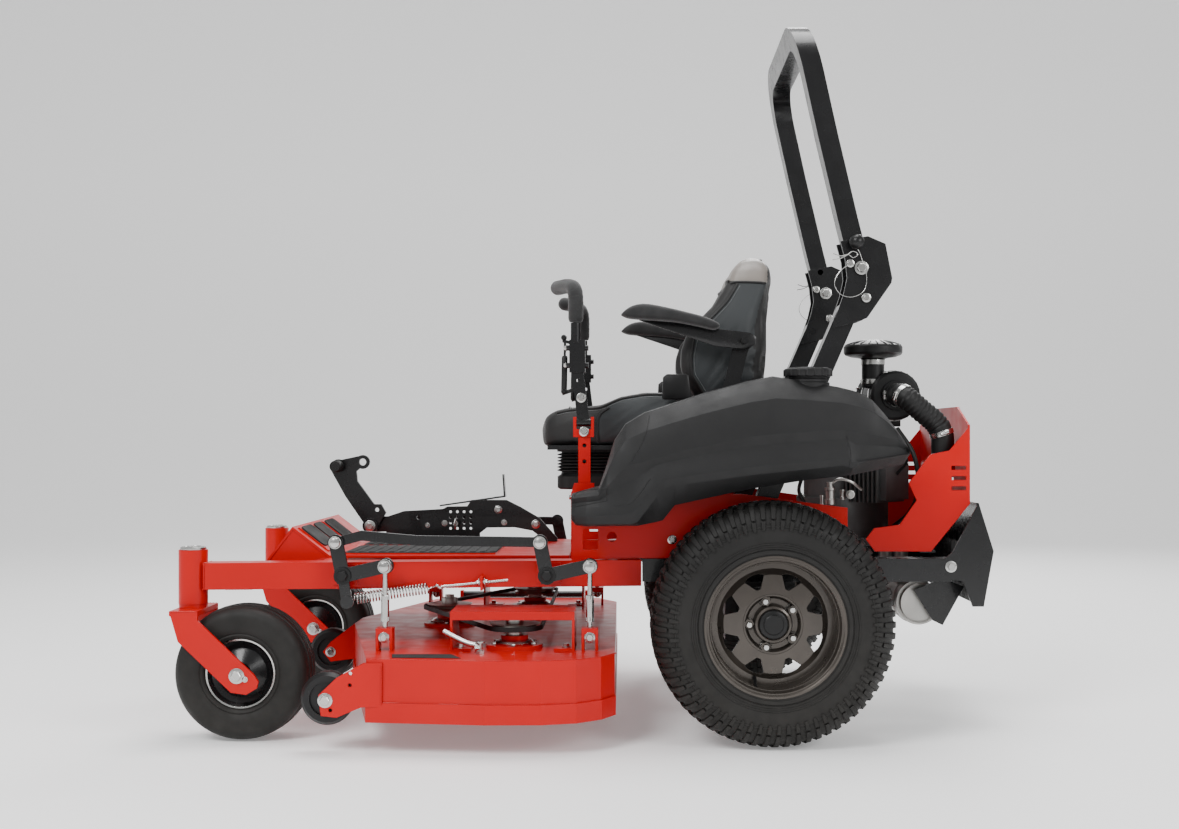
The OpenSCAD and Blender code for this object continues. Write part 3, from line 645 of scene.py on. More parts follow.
def make_wheel_trim():
    for side, sign in (("left", -1), ("right", 1)):
        centre = round_box("drive_tyre_" + side)[0]
        out = Y * sign
        bm = bmesh.new()
        for r, h, w in ((165, 113, 5), (157, 108, 2.5), (151.5, 92, 2.5), (150, 76, 2), (69, 49, 4)):
            lathe(bm, [(r - w, h), (r - w * 0.5, h + 2.2), (r + w * 0.5, h + 2.2), (r + w, h)],
                  centre, out, 120)
        lathe(bm, [(31, 46), (34, 60), (38, 63), (43, 61), (47, 50), (48, 37)], centre, out, 72)
        put("rim_rings_" + side, bm, "bronze", "drive_wheel_" + side)
        bm = bmesh.new()
        lathe(bm, [(33.5, 40), (35, 42), (35, 62), (33, 66), (28, 68), (0.1, 70)], centre, out)
        lathe(bm, [(24, 67.5), (24, 71), (22, 72.5), (0.1, 72.5)], centre, out)
        tip = ring_point(centre, 0, 118, VALVE_TURN)
        tube(bm, [tip + out * h * MM + Vector((0, 0, -0.0004 * h)) for h in (46, 60, 72, 84)],
             [5, 4.4, 3.6, 3.6])
        put("hub_cap_" + side, bm, "plastic", "drive_wheel_" + side)
        bm = bmesh.new()
        for d in around(5, 37, X, Z * -sign):
            lathe(bm, [(15, 38.5), (14, 43), (13, 44)], centre + d * 57 * MM, out, 24)
            lathe(bm, [(7, 54), (7, 62), (6, 64), (0.1, 64)], centre + d * 57 * MM, out, 16)
        put("wheel_studs_" + side, bm, "zinc", "drive_wheel_" + side)
        centre = round_box("caster_tyre_" + side)[0]
        bm = bmesh.new()
        for face in (-1, 1):
            lathe(bm, [(79, 52), (80, 55), (84, 56), (85.5, 54), (84.5, 50)], centre, Y * face, 96)
        put("caster_rim_rings_" + side, bm, "zinc", "caster_wheel_" + side)
        bm = bmesh.new()
        for face in (-1, 1):
            bolt(bm, centre + Y * face * 90 * MM, Y * face, 13, 9)
            bolt(bm, centre + Vector((0.020, 0.090 * face, -0.008)), Y * face, 5, 4)
        put("caster_bolts_" + side, bm, "zinc", "fork_" + side)


make_wheel_trim()


# ---------------------------------------------------------------- seat
CUSHION_TOP = [(-136, 762), (-128, 790), (-110, 806), (-70, 816), (20, 824), (71, 846), (134, 857),
               (181, 857), (240, 852), (285, 846), (300, 836)]
CUSHION_DIP = [(-136, 760), (-128, 787), (-110, 801), (-70, 810), (20, 806), (134, 796), (240, 800),
               (300, 806)]
CUSHION_HALF = [(-136, 150), (-130, 172), (-112, 192), (-70, 206), (20, 216), (240, 218), (285, 212),
                (300, 200)]
BACK_FRONT = [(828, 282), (845, 262), (863, 250), (903, 226), (953, 225), (993, 234), (1030, 262),
              (1056, 284), (1083, 312), (1110, 330), (1139, 347), (1176, 364), (1200, 384),
              (1212, 402), (1217, 414)]
BACK_REAR = [(828, 424), (860, 438), (893, 441), (953, 447), (1039, 447), (1100, 454), (1146, 463),
             (1180, 466), (1200, 458), (1212, 444), (1217, 432)]
BACK_HALF = [(828, 190), (845, 202), (880, 214), (950, 218), (1060, 216), (1120, 210), (1160, 200),
             (1190, 178), (1207, 152), (1217, 112)]
BACK_DIP = [(828, 8), (870, 34), (950, 62), (1040, 46), (1090, 26), (1130, 10), (1160, 3), (1217, 0)]
PIPING, THREAD = 3.4, 0.55       # radii in mm
PANEL_HALF = 118                # half width of the cushion's middle panel
NOSE_BACK = 11                  # x where the front roll of the cushion begins
VOXEL, PRESSURE, HELD, CAP = 5.5, 4.0, 9, 9     # remesh size, air pressure, width of a held seam, most travel
LAST_STEP = 20


def head_seam(x):
    """Height of the seam under the head cap."""
    return 1146 - (x - 350) * 0.05


def back_panel_half(z):
    """Half width of the backrest's middle panel."""
    return 112 - max(0, z - 1080) * 0.25


def both_sides(half):
    """A half section from the middle of one face round to the middle of the other, made whole."""
    return half + [(-y, h) for y, h in half[::-1] if abs(y) > 1e-6]


def cushion_ring(x):
    top, dip, half = level(CUSHION_TOP, x), level(CUSHION_DIP, x), level(CUSHION_HALF, x)
    side = [(0, dip), (70, dip - 1), (128, dip + 2), (half - 62, (top + dip) / 2 + 2), (half - 38, top - 2),
            (half - 20, top - 3), (half - 6, top - 16), (half, top - 40), (half, 742), (half - 4, 724),
            (half - 14, 715), (90, 714), (0, 714)]
    return [at(x, y, z) for y, z in both_sides(side)]


def back_ring(z):
    front, rear, half = level(BACK_FRONT, z), level(BACK_REAR, z), level(BACK_HALF, z)
    dip = front + level(BACK_DIP, z)
    side = [(0, dip), (60, dip), (112, dip - 3), (half - 62, (front + dip) / 2 - 2), (half - 40, front + 1),
            (half - 18, front + 2), (half - 4, front + 16), (half, front + 42), (half, rear - 22),
            (half - 6, rear - 8), (half - 20, rear - 1), (90, rear), (0, rear)]
    return [at(x, y, z) for y, x in both_sides(side)]


def swollen(bm, seams):
    """Remeshes a pad and blows it up as cloth between its seams. No point moves more than CAP mm."""
    scene = bpy.context.scene
    mesh = bpy.data.meshes.new("pad")
    bm.to_mesh(mesh)
    bm.free()
    ob = link_object("pad", mesh)
    remesh = ob.modifiers.new("remesh", "REMESH")
    remesh.mode, remesh.voxel_size = "VOXEL", VOXEL * MM
    even = ob.modifiers.new("even", "SMOOTH")
    even.factor, even.iterations = 0.5, 6
    bpy.context.view_layer.update()
    ready = bpy.data.meshes.new_from_object(ob.evaluated_get(bpy.context.evaluated_depsgraph_get()))
    ob.modifiers.clear()
    ob.data = ready
    start = [v.co.copy() for v in ready.vertices]
    grip = ob.vertex_groups.new(name="sewn")
    lines = [p for seam in seams for p in seam]
    for v in ready.vertices:
        near = min((v.co - p).length for p in lines) / MM
        if near < 2 * HELD:
            grip.add([v.index], min(1.0, 2 - near / HELD), "REPLACE")
    cloth = ob.modifiers.new("cloth", "CLOTH")
    s = cloth.settings
    s.quality, s.mass, s.air_damping = 5, 0.3, 2.0
    s.tension_stiffness = s.compression_stiffness = 12
    s.shear_stiffness, s.bending_stiffness = 6, 0.6
    s.use_pressure, s.uniform_pressure_force = True, PRESSURE
    s.effector_weights.gravity = 0
    s.vertex_group_mass, s.pin_stiffness = "sewn", 1.0
    cloth.point_cache.frame_start, cloth.point_cache.frame_end = 1, LAST_STEP
    for frame_number in range(1, LAST_STEP + 1):
        scene.frame_set(frame_number)
    moved = ob.evaluated_get(bpy.context.evaluated_depsgraph_get()).data
    places = [v.co.copy() for v in moved.vertices]
    ob.modifiers.clear()
    scene.frame_set(1)
    for v, first, last in zip(ready.vertices, start, places):
        step = last - first
        v.co = first + step * min(1, CAP * MM / max(step.length, 1e-9))
    out = bmesh.new()
    out.from_mesh(ready)
    bpy.data.objects.remove(ob)
    return out


def on_skin(tree, points, lift=0.0):
    """Points moved to the nearest place on a skin, and lifted off it in mm."""
    out = []
    for p in points:
        place, normal, _, _ = tree.find_nearest(p)
        out.append(place + normal * lift * MM)
    return out


def seam_path(points):
    """Smooth seam through points in mm from the centre plane."""
    return smooth_path([at(*p) for p in points], 60)


def two(points):
    """A seam and its mirror image."""
    return [points, [(x, -y, z) for x, y, z in points]]


def cushion_seams():
    """Piped seams of the cushion: the top panel's edge on each side, the front roll and the middle panel."""
    rim = [(x, -(level(CUSHION_HALF, x) - 12), level(CUSHION_TOP, x) - 8)
           for x in (-96, -60, -20, 20, 71, 134, 181, 240, 286)]
    nose = [(40, -217, 816), (20, -217, 800), (12, -216, 783), (11, -216, 752), (14, -214, 722)]
    middle = [(x, -PANEL_HALF, level(CUSHION_DIP, x) + 2) for x in (-60, 0, 80, 160, 240, 290)]
    cross = [(-62, y, 811) for y in (-200, -160, -PANEL_HALF, -60, 0, 60, PANEL_HALF, 160, 200)]
    back = [(60, y, 802) for y in (-PANEL_HALF, -60, 0, 60, PANEL_HALF)]
    return [seam_path(s) for s in two(rim) + two(nose) + two(middle) + [cross, back]]


def back_seams():
    """Piped seams of the backrest: side panels, middle panel and the head cap."""
    side = [(level(BACK_FRONT, z) + 30, -(level(BACK_HALF, z)), z) for z in range(850, 1150, 24)]
    middle = [(level(BACK_FRONT, z) + level(BACK_DIP, z) - 2, -back_panel_half(z), z)
              for z in range(850, 1150, 24)]
    cap = [(level(BACK_FRONT, 1146) + 4, y, 1146) for y in (-190, -150, -90, 0, 90, 150, 190)]
    cap_side = [(x, -209, head_seam(x)) for x in (352, 380, 420, 455)]
    across = [(level(BACK_FRONT, 1010) + level(BACK_DIP, 1010), y, 1010) for y in (-112, -50, 0, 50, 112)]
    return [seam_path(s) for s in two(side) + two(middle) + [cap] + two(cap_side) + [across]]


def paint(bm, rule):
    """Gives each face the material number that the rule says for its place."""
    for f in bm.faces:
        c = f.calc_center_median()
        f.material_index = rule(c.x / MM, (c.y - MID) / MM, c.z / MM, f.normal)


def pad_piece(name, rings, seams, mats, rule, node):
    """Puts a pad in place with its piping and stitches."""
    bm = swollen(loft(rings), seams)
    bm.normal_update()
    paint(bm, rule)
    tree = BVHTree.FromBMesh(bm)
    piping, stitches = bmesh.new(), bmesh.new()
    for seam in seams:
        tube(piping, on_skin(tree, seam, 0.6), PIPING, 10)
        run = on_skin(tree, seam, 0.3)
        side = [(b - a).normalized() for a, b in zip(run, run[1:])]
        for k in range(len(run) - 1):
            _, normal, _, _ = tree.find_nearest(run[k])
            off = side[k].cross(normal) * 7.5 * MM
            for share in (0.0, 0.5):
                a = run[k].lerp(run[k + 1], share) + off
                b = run[k].lerp(run[k + 1], share + 0.32) + off
                ends = on_skin(tree, [a, b], 0.35)
                if (ends[1] - ends[0]).length > 1 * MM:
                    tube(stitches, ends, THREAD, 5)
    pad = put(name, bm, mats, "seat", node, smooth=180, soft=True)
    put(name + "_piping", piping, "vinyl", "seat")
    put(name + "_stitches", stitches, "thread", "seat")


def cushion_rule(x, y, z, normal):
    nose = NOSE_BACK + max(0, z - 783) * 0.75
    if abs(y) > level(CUSHION_HALF, x) - 14 and x > nose and z < level(CUSHION_TOP, x) - 8:
        return 1
    if abs(y) < PANEL_HALF and -62 < x and normal.z > 0.4:
        return 2
    return 0


def back_rule(x, y, z, normal):
    if z > head_seam(x) and x < level(BACK_REAR, z) - 8:
        return 3
    if abs(y) > level(BACK_HALF, z) - 8 and x > level(BACK_FRONT, z) + 30:
        return 1
    if abs(y) < back_panel_half(z) and normal.x < -0.4 and 850 < z:
        return 2
    return 0


def make_seat():
    xs = [-136, -133, -128, -118, -100, -70, -30, 20, 71, 134, 181, 240, 275, 290, 297, 300]
    pad_piece("seat_cushion_pad", [cushion_ring(x) for x in xs], cushion_seams(),
              ["vinyl", "vinyl_grey", "panel"], cushion_rule, "seat_cushion")
    zs = [828, 834, 845, 863, 890, 925, 960, 1000, 1040, 1083, 1120, 1150, 1176, 1192, 1204, 1212, 1217]
    pad_piece("seat_back_pad", [back_ring(z) for z in zs], back_seams(),
              ["vinyl", "vinyl_grey", "panel", "vinyl_light"], back_rule, "seat_back")


make_seat()


def make_seat_trim():
    bm = bmesh.new()
    shell = [(z, level(BACK_REAR, z) + 3, level(BACK_HALF, z) - 14) for z in range(840, 1190, 14)]
    rows = []
    for z, rear, half in shell:
        rows.append([bm.verts.new(at(rear - 26 * abs(k / 8) ** 6, half * k / 8, z)) for k in range(-8, 9)])
    skin(bm, rows, ring=False)
    bmesh.ops.solidify(bm, geom=bm.faces[:], thickness=3 * MM)
    put("seat_back_shell", bm, "plastic", "seat")
    bm = bmesh.new()
    for inner in (-254, 236):
        slab(bm, [(178, 836), (186, 834), (250, 834), (253, 842), (246, 897), (238, 900), (190, 900),
                  (180, 892)], inner, inner + 18, 2.5)
    put("belt_buckles", bm, "plastic", "seat")
    bm = bmesh.new()
    for sign in (-1, 1):
        y = sorted((228 * sign, 231 * sign))
        slab(bm, [(232, 716), (262, 716), (240, 838), (214, 838)], *y, 1)
        bolt(bm, at(247, 231 * sign, 728), Y * sign)
    put("belt_straps", bm, "zinc", "seat")


PLEATS = 6


def make_bellows():
    """Pleated rubber skirt of the suspension under the seat pan, with its plain lower box."""
    (x0, y0, z0), (x1, y1, z1) = (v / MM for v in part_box("seat_base"))
    half, r = (y1 - y0) / 2, 34
    profile = [(z0, 10), (z0 + 4, 4), (z0 + 34, 4), (z0 + 38, 12), (z0 + 44, 14)]
    step = (z1 - 8 - (z0 + 46)) / PLEATS
    for k in range(PLEATS):
        z = z0 + 46 + k * step
        profile += [(z, 14), (z + step * 0.30, 3.5), (z + step * 0.55, 3.5), (z + step * 0.9, 14)]
    profile += [(z1 - 6, 14), (z1 - 5, 3), (z1, 3)]

    def ring(z, inset):
        a, b, w = x0 + inset + r, x1 - inset - r, half - inset - r
        corners = ((b, w, 0), (a, w, 90), (a, -w, 180), (b, -w, 270))
        turns = [(cx, cy, math.radians(turn + 15 * k)) for cx, cy, turn in corners for k in range(7)]
        return [at(cx + r * math.cos(t), cy + r * math.sin(t), z) for cx, cy, t in turns]
    bm = loft([ring(z, i) for z, i in profile])
    put("seat_bellows", bm, "rubber", "chassis", "seat_base", smooth=50)


make_seat_trim()
make_bellows()


# ---------------------------------------------------------------- armrests and grips
ARM_TOP = [(72, 1050), (82, 1062), (100, 1073), (126, 1080), (160, 1075), (214, 1063), (285, 1045),
           (315, 1032), (324, 1024)]
ARM_BOTTOM = [(72, 1048), (84, 1041), (100, 1038), (160, 1034), (214, 1031), (285, 1016), (311, 1008),
              (324, 1018)]


def squared(c):
    """Coordinate of a unit circle, moved out towards a square with round corners."""
    return math.copysign(abs(c) ** 0.62, c)


def arm_pad():
    rings = []
    lo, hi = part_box("armrest_left")
    mid, half = (lo.y + hi.y) / 2, (hi.y - lo.y) / 2 / MM
    for x in (72, 74, 79, 88, 100, 126, 160, 214, 260, 285, 302, 315, 321, 324):
        top, low = level(ARM_TOP, x), level(ARM_BOTTOM, x)
        end = min(1, (x - 68) / 26, (328 - x) / 22)
        w = half * (0.45 + 0.55 * math.sin(max(0.02, end) * math.pi / 2)) - 1.5
        h = (top - low) / 2
        rings.append([Vector((x * MM, mid + w * squared(d.x) * MM, ((top + low) / 2 + h * squared(d.y)) * MM))
                      for d in around(20)])
    return loft(rings)


def arm_bracket():
    bm = bmesh.new()
    lo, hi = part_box("armrest_left")
    mid = ((lo.y + hi.y) / 2 - MID) / MM
    outline = [(326, 1014), (360, 1010), (404, 1004), (418, 994), (416, 974), (392, 962), (368, 964),
               (311, 970), (246, 993), (118, 1036), (122, 1041), (214, 1036), (290, 1020)]
    slab(bm, outline, mid + 8, mid + 13, 1.2)
    return bm


for hand, flip in (("left", lambda bm: bm), ("right", mirrored)):
    arm_rest = put("armrest_pad_" + hand, flip(arm_pad()), "foam", "arm_" + hand, "armrest_" + hand,
                   smooth=180, soft=True, slot="seat_vinyl")
    put("armrest_bracket_" + hand, flip(arm_bracket()), "black", "arm_" + hand)


# ---------------------------------------------------------------- grips and levers
GRIP_R = 19


def grip_body():
    bm = bmesh.new()
    path = smooth_path([at(-42, -338, 1027), at(-42, -338, 1060), at(-42.5, -337, 1092), at(-48, -324, 1114),
                        at(-66, -284, 1123), at(-84, -245, 1124), at(-100, -208, 1125)], 40)
    tube(bm, path, [15.5, 18] + [GRIP_R] * 35 + [17.6, 14, 6], 24)
    for k in (6, 9, 12, 15):
        tube(bm, path[k:k + 2], GRIP_R + 0.5, 24)
    return bm


def lever_bolts():
    bm = bmesh.new()
    bolt(bm, at(-28, -348, 836), -Y, 8.5, 6)
    bolt(bm, at(-66, -334, 962), -X, 6, 5)
    bolt(bm, at(-66, -334, 918), -X, 6, 5)
    return bm


def lever_base_bolt():
    bm = bmesh.new()
    bolt(bm, at(-21, -352, 751), -Y, 8.5, 6)
    return bm


def lever_damper():
    """Slim gas damper in front of the lever with its ball ends."""
    bm = bmesh.new()
    lathe(bm, [(0.1, 0), (6.5, 0), (7.5, 2), (7.5, 88), (6, 92), (3, 93), (3, 140), (0.1, 140)],
          at(-72, -330, 850), Vector((0.02, 0, 1)), 20)
    for z in (852, 988):
        lathe(bm, [(0.1, -8), (5, -8), (7.5, -4), (7.5, 4), (5, 8), (0.1, 8)], at(-72, -334, z), Y, 16)
    slab(bm, [(-76, 984), (-40, 976), (-40, 968), (-76, 976)], -338, -330, 1)
    slab(bm, [(-76, 852), (-30, 868), (-30, 858), (-76, 842)], -338, -330, 1)
    return bm


sided("hand_grip_{}", grip_body, "foam", "lever_top_{}", "grip_{}", smooth=45)
sided("lever_bolts_{}", lever_bolts, "zinc", "lever_top_{}")
sided("lever_base_bolt_{}", lever_base_bolt, "zinc", "lever_foot_{}")
sided("lever_damper_{}", lever_damper, "plastic", "lever_top_{}")


# ---------------------------------------------------------------- deck lift hardware
def coil(bm, a, b, radius, wire, turns):
    """Close-wound spring between two points, with a hook at each end."""
    axis = (b - a).normalized()
    side, up = frame_of(axis)
    steps = 14
    run = (b - a).length
    hook = 16 * MM
    points = [a + axis * hook * (1 - math.cos(t)) * 0.5 + side * radius * math.sin(t) * MM * 0.6
              for t in (0, 0.9, 1.8)]
    for k in range(turns * steps + 1):
        t = 2 * math.pi * k / steps
        s = hook + (run - 2 * hook) * k / (turns * steps)
        points.append(a + axis * s + (side * math.sin(t + 1.4) + up * math.cos(t + 1.4)) * radius * MM)
    points.append(b - axis * hook * 0.5 + side * radius * 0.5 * MM)
    points.append(b)
    tube(bm, points, wire, 6)


SPRING_A, SPRING_B = (-594, -446, 340), (-384, -440, 370)
ROD_WAY = Vector((1, 0, 0.1))           # direction of the spring's rod
FRONT_CRANK, REAR_CRANK = -604, -108    # x of the crank pivots
HANGER = 105                            # from a crank's pivot back to its hanger rod
HANGER_Y = -480.3
STEM_TOP = at(-978, -432, 461)
LOCK_PIN = at(659, 0, 1223)


def make_springs():
    for side, sign in (("left", 1), ("right", -1)):
        a, b = (at(x, y * sign, z) for x, y, z in (SPRING_A, SPRING_B))
        bm = bmesh.new()
        coil(bm, a, b, 12.5, 2.1, 24)
        spring = put("assist_spring_" + side, bm, "zinc", None, smooth=180)
        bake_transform(spring)
        bm = bmesh.new()
        eye = smooth_path([at(-384, -440 * sign, 370), at(-378, -446 * sign, 374), at(-370, -446 * sign, 368),
                           at(-362, -440 * sign, 371), at(-330, -438 * sign, 374),
                           at(-205, -438 * sign, 386)], 30)
        tube(bm, eye, 3.6, 10)
        for k in range(12):
            c = at(-262 + 4.4 * k, -438 * sign, 380.4 + 0.42 * k)
            lathe(bm, [(3.4, 0), (4.3, 1), (3.4, 2)], c, ROD_WAY, 12)
        bolt(bm, at(-262, -438 * sign, 381), ROD_WAY, 8, 6)
        bolt(bm, at(-274, -438 * sign, 380), -ROD_WAY, 8, 6)
        put("spring_rod_" + side, bm, "zinc", "chassis")
        bm = bmesh.new()
        y = sorted((-405 * sign, -452 * sign))
        block(bm, -272, -266, y[0], y[1], 362, 396, 1)
        put("spring_bracket_" + side, bm, "red", "chassis")


def pin_cap(bm, x, y, z):
    """Washer and domed head on the end of a pin, facing the side of the machine."""
    c = at(x, y, z)
    lathe(bm, [(6, 0), (15.5, 0), (15.5, 2), (6, 2)], c, -Y, 32)
    lathe(bm, [(0.1, 1.5), (12.5, 1.5), (13, 3.5), (11.5, 6.5), (6, 8.5), (0.1, 9)], c, -Y, 32)


def crank_caps(x):
    bm = bmesh.new()
    pin_cap(bm, x - 17, -478, 481)
    pin_cap(bm, x + HANGER, -496, 424)
    return bm


def hanger_hardware():
    """Nuts and threads of the deck hanger rods."""
    bm = bmesh.new()
    for x in (FRONT_CRANK + HANGER, REAR_CRANK + HANGER):
        for z, r in ((292, 11), (344, 11), (264, 12)):
            lathe(bm, [(5, 0), (r, 0), (r, 9), (r * 0.85, 10.5), (5, 10.5)], at(x, HANGER_Y, z), Z, 6)
        for k in range(14):
            lathe(bm, [(5.8, 0), (7, 1.3), (5.8, 2.6)], at(x, HANGER_Y, 302 + 2.9 * k), Z, 12)
        bolt(bm, at(x, -500, 254), -Y, 9, 6)
    return bm


def pivot_heads():
    """Black bolt heads on the crank pivots."""
    bm = bmesh.new()
    for x in (FRONT_CRANK, REAR_CRANK):
        lathe(bm, [(10, 0), (21, 0), (21, 3), (10, 3)], at(x, -474, 400), -Y, 32)
        lathe(bm, [(0.1, 3), (14, 3), (14, 9), (12, 11), (0.1, 11)], at(x, -474, 400), -Y, 6)
    return bm


def frame_hardware():
    """Dust caps of the caster stems, and bolts along the frame."""
    bm = bmesh.new()
    lathe(bm, [(0.1, 0), (31, 0), (31.5, 2), (31, 6), (28, 8), (20, 8.6), (19, 7), (0.1, 7)],
          STEM_TOP, Z)
    bolt(bm, STEM_TOP + Z * 6 * MM, Z, 5, 1)
    for x, z in ((200, 480), (330, 500), (470, 510)):
        bolt(bm, at(x, -358, z), -Y, 8, 5)
    bolt(bm, at(905, -332, 410), -Y, 10, 7)
    bolt(bm, at(-52, -340, 586), -X, 7, 5)
    return bm


sided("front_crank_caps_{}", lambda: crank_caps(FRONT_CRANK), "zinc", "lift_front_{}")
sided("rear_crank_caps_{}", lambda: crank_caps(REAR_CRANK), "zinc", "lift_rear_{}")
sided("hanger_hardware_{}", hanger_hardware, "zinc", "deck")
sided("pivot_heads_{}", pivot_heads, "plastic", "chassis")
sided("frame_hardware_{}", frame_hardware, "zinc", "chassis")
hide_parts("frame_bolts")
make_springs()


# ---------------------------------------------------------------- deck trim
def bead(bm, points, radius=2.2, seed=1.0):
    """Weld bead: a run of small overlapping ripples along points in mm."""
    path = [at(*p) for p in points]
    run = []
    for a, b in zip(path, path[1:]):
        steps = max(2, int((b - a).length / (2.4 * MM)))
        run += [a.lerp(b, k / steps) for k in range(steps)]
    run.append(path[-1])
    radii = [radius * (0.8 + 0.25 * math.sin(2.1 * k) + 0.12 * noise.noise(Vector((k * 0.37, seed, 0))))
             for k in range(len(run))]
    tube(bm, run, radii, 6)


SPINDLES = ((-190, -425), (-190, 425), (-400, 0))
DECK_SIDE = [(-520, -636), (-240, -670), (-110, -668), (-30, -646), (28, -600), (60, -540)]


def deck_top_trim():
    """Weld runs on the deck's top and above its lower band."""
    bm = bmesh.new()
    for a, b in zip(DECK_SIDE, DECK_SIDE[1:]):
        bead(bm, [(a[0], a[1] + 11, 221), (b[0], b[1] + 11, 221)], 2.0, a[0])
        for share in (0.12, 0.62):
            p, q = Vector(a).lerp(Vector(b), share), Vector(a).lerp(Vector(b), share + 0.16)
            bead(bm, [(p.x, p.y + 4.5, 122), (q.x, q.y + 4.5, 122)], 2.2, a[0])
    for x in (-340, -40):
        bead(bm, [(x, -498, 223), (x, -360, 223)], 2.2, x)
    bead(bm, [(-482, -641, 118), (-482, -641, 208)], 2.2)
    return bm


def deck_bolts():
    bm = bmesh.new()
    bolt(bm, at(-612, -640, 128), -Y, 12, 8)
    for x, y in SPINDLES:
        for d in around(6, 30):
            bolt(bm, at(x, y, 230) + d * 56 * MM, Z, 6, 4, washer=False)
        lathe(bm, [(34, 0), (46, 0), (48, 4), (44, 9), (34, 12)], at(x, y, 230), Z)
    for x, y in ((-320, -468), (-60, -468), (-320, 468), (-60, 468)):
        bolt(bm, at(x, y, 227), Z, 8, 7)
    return bm


def idler_arm():
    """Belt tension rod and its spring post on the deck, in front of the left pulley."""
    bm = bmesh.new()
    tube(bm, smooth_path([at(-352, -520, 272), at(-322, -530, 258), at(-292, -540, 246),
                          at(-270, -545, 242)], 20), 7)
    lathe(bm, [(0.1, 0), (5, 0), (5, 26), (12, 27), (12, 30), (0.1, 30)], at(-262, -548, 222), Z, 20)
    lathe(bm, [(0.1, 0), (11, 0), (11, 8), (0.1, 8)], at(-262, -548, 222), Z, 6)
    lathe(bm, [(5, 0), (12, 0), (12, 12), (5, 12)], at(-274, -546, 236), X, 6)
    return bm


def deck_step():
    """Rubbed anti-slip patch on the deck's front corner."""
    outline = [(-470, -560), (-462, -612), (-300, -622), (-330, -560)]
    return loft([[at(x, y, z) for x, y in outline] for z in (222.2, 223.4)])


def make_deck_trim():
    put("deck_welds", deck_top_trim(), "red", "deck")
    put("deck_bolts", deck_bolts(), "zinc", "deck")
    put("belt_tension_rod", idler_arm(), "zinc", "deck")
    put("deck_step_patch", deck_step(), "grip_tape", "deck")
    bm = bmesh.new()
    bolt(bm, at(-612, 640, 128), Y, 12, 8)
    bolt(bm, at(-740, 62, 137), -Y, 10, 6)
    put("roller_bolts", bm, "zinc", "deck")


make_deck_trim()


# ---------------------------------------------------------------- belt and floor mats
PULLEY_R, BELT_Z = 63.5, 272
MAT_CORNER = 18
FLOOR_TOP = 440
PEDAL_BAR = at(-740, 0, 654)


def drive_belt():
    """Mower belt round the three spindle pulleys, on the outside of all three."""
    bm = bmesh.new()
    rows = []
    (x0, _), (_, y1), (x2, _) = SPINDLES
    lean = math.degrees(math.atan2(x0 - x2, -y1))
    for (cx, cy), first, last in zip(SPINDLES, (360 - lean, 0, lean), (360, lean, 360 - lean)):
        for a in np.linspace(math.radians(first), math.radians(last), 16):
            c, s = math.cos(a), math.sin(a)
            rows.append([bm.verts.new(at(cx + (PULLEY_R + o) * c, cy + (PULLEY_R + o) * s, BELT_Z + h))
                         for o, h in ((0, -4), (7, -6), (7, 6), (0, 4))])
    skin(bm, rows, closed=True)
    put("deck_belt", bm, "rubber", "deck")


def mat_patch(bm, corners, lift=1.3):
    """Thin anti-slip patch with round corners on four points."""
    p = [at(*c) for c in corners]
    normal = (p[1] - p[0]).cross(p[3] - p[0]).normalized()
    if normal.z < 0:
        normal = -normal
    outline = []
    for i in range(4):
        a, b, c = p[i - 1], p[i], p[(i + 1) % 4]
        u, v = ((q - b).normalized() * MAT_CORNER * MM for q in (a, c))
        outline += [b + u * (1 - t) ** 2 + v * t ** 2 for t in (0, 0.25, 0.5, 0.75, 1)]
    merge(bm, loft([[q + normal * h * MM for q in outline] for h in (-0.5, lift)]))


def make_mats():
    bm = bmesh.new()
    for y, wide in ((-270, 255), (15, 135)):
        mat_patch(bm, [(-640, y, FLOOR_TOP), (-250, y, FLOOR_TOP), (-250, y + wide, FLOOR_TOP),
                       (-640, y + wide, FLOOR_TOP)])
        for x in range(-630, -258, 26):
            block(bm, x, x + 14, y + 12, y + wide - 12, FLOOR_TOP + 0.8, FLOOR_TOP + 3, 0.8)
    for y, wide in ((-270, 130), (-125, 110), (15, 135)):
        mat_patch(bm, [(-752, y + 4, 505), (-690, y + 4, 457), (-690, y + wide - 4, 457),
                       (-752, y + wide - 4, 505)], 3)
    put("floor_mats", bm, "grip_tape", "chassis")
    bm = bmesh.new()
    for low, high in ((122, 168), (185, 230)):
        rings = [(14.1, low), (16, low + 1)]
        for y in np.arange(low + 4, high - 4, 6):
            rings += [(16, y), (17, y + 1.5), (17, y + 3.5), (16, y + 5)]
        lathe(bm, rings + [(16, high - 1), (14.1, high)], PEDAL_BAR, Y, 32)
    put("pedal_ribs", bm, "rubber", "pedal")
    bm = bmesh.new()
    bolt(bm, at(-648, 163, 483), -Y, 11, 8)
    put("pedal_bolt", bm, "zinc", "pedal")
    bm = bmesh.new()
    for x, z, r in ((-283, 528, 8), (-266, 491, 6), (-438, 489, 6), (-487, 483, 5), (-175, 486, 9)):
        bolt(bm, at(x, 196, z), -Y, r, 4)
    put("height_plate_bolts", bm, "zinc", "chassis")


drive_belt()
make_mats()


# ---------------------------------------------------------------- engine, air cleaner and hoses
def clamp(bm, centre, axis, radius):
    """Worm-drive hose clamp with its screw housing."""
    lathe(bm, [(radius, -6), (radius + 1.2, -6.5), (radius + 1.6, 0), (radius + 1.2, 6.5), (radius, 6)],
          centre, axis, 40)
    side, up = frame_of(axis)
    lathe(bm, [(0.1, -11), (5, -11), (5, 9), (4, 11), (0.1, 11)], centre + side * (radius + 4) * MM, up, 12)


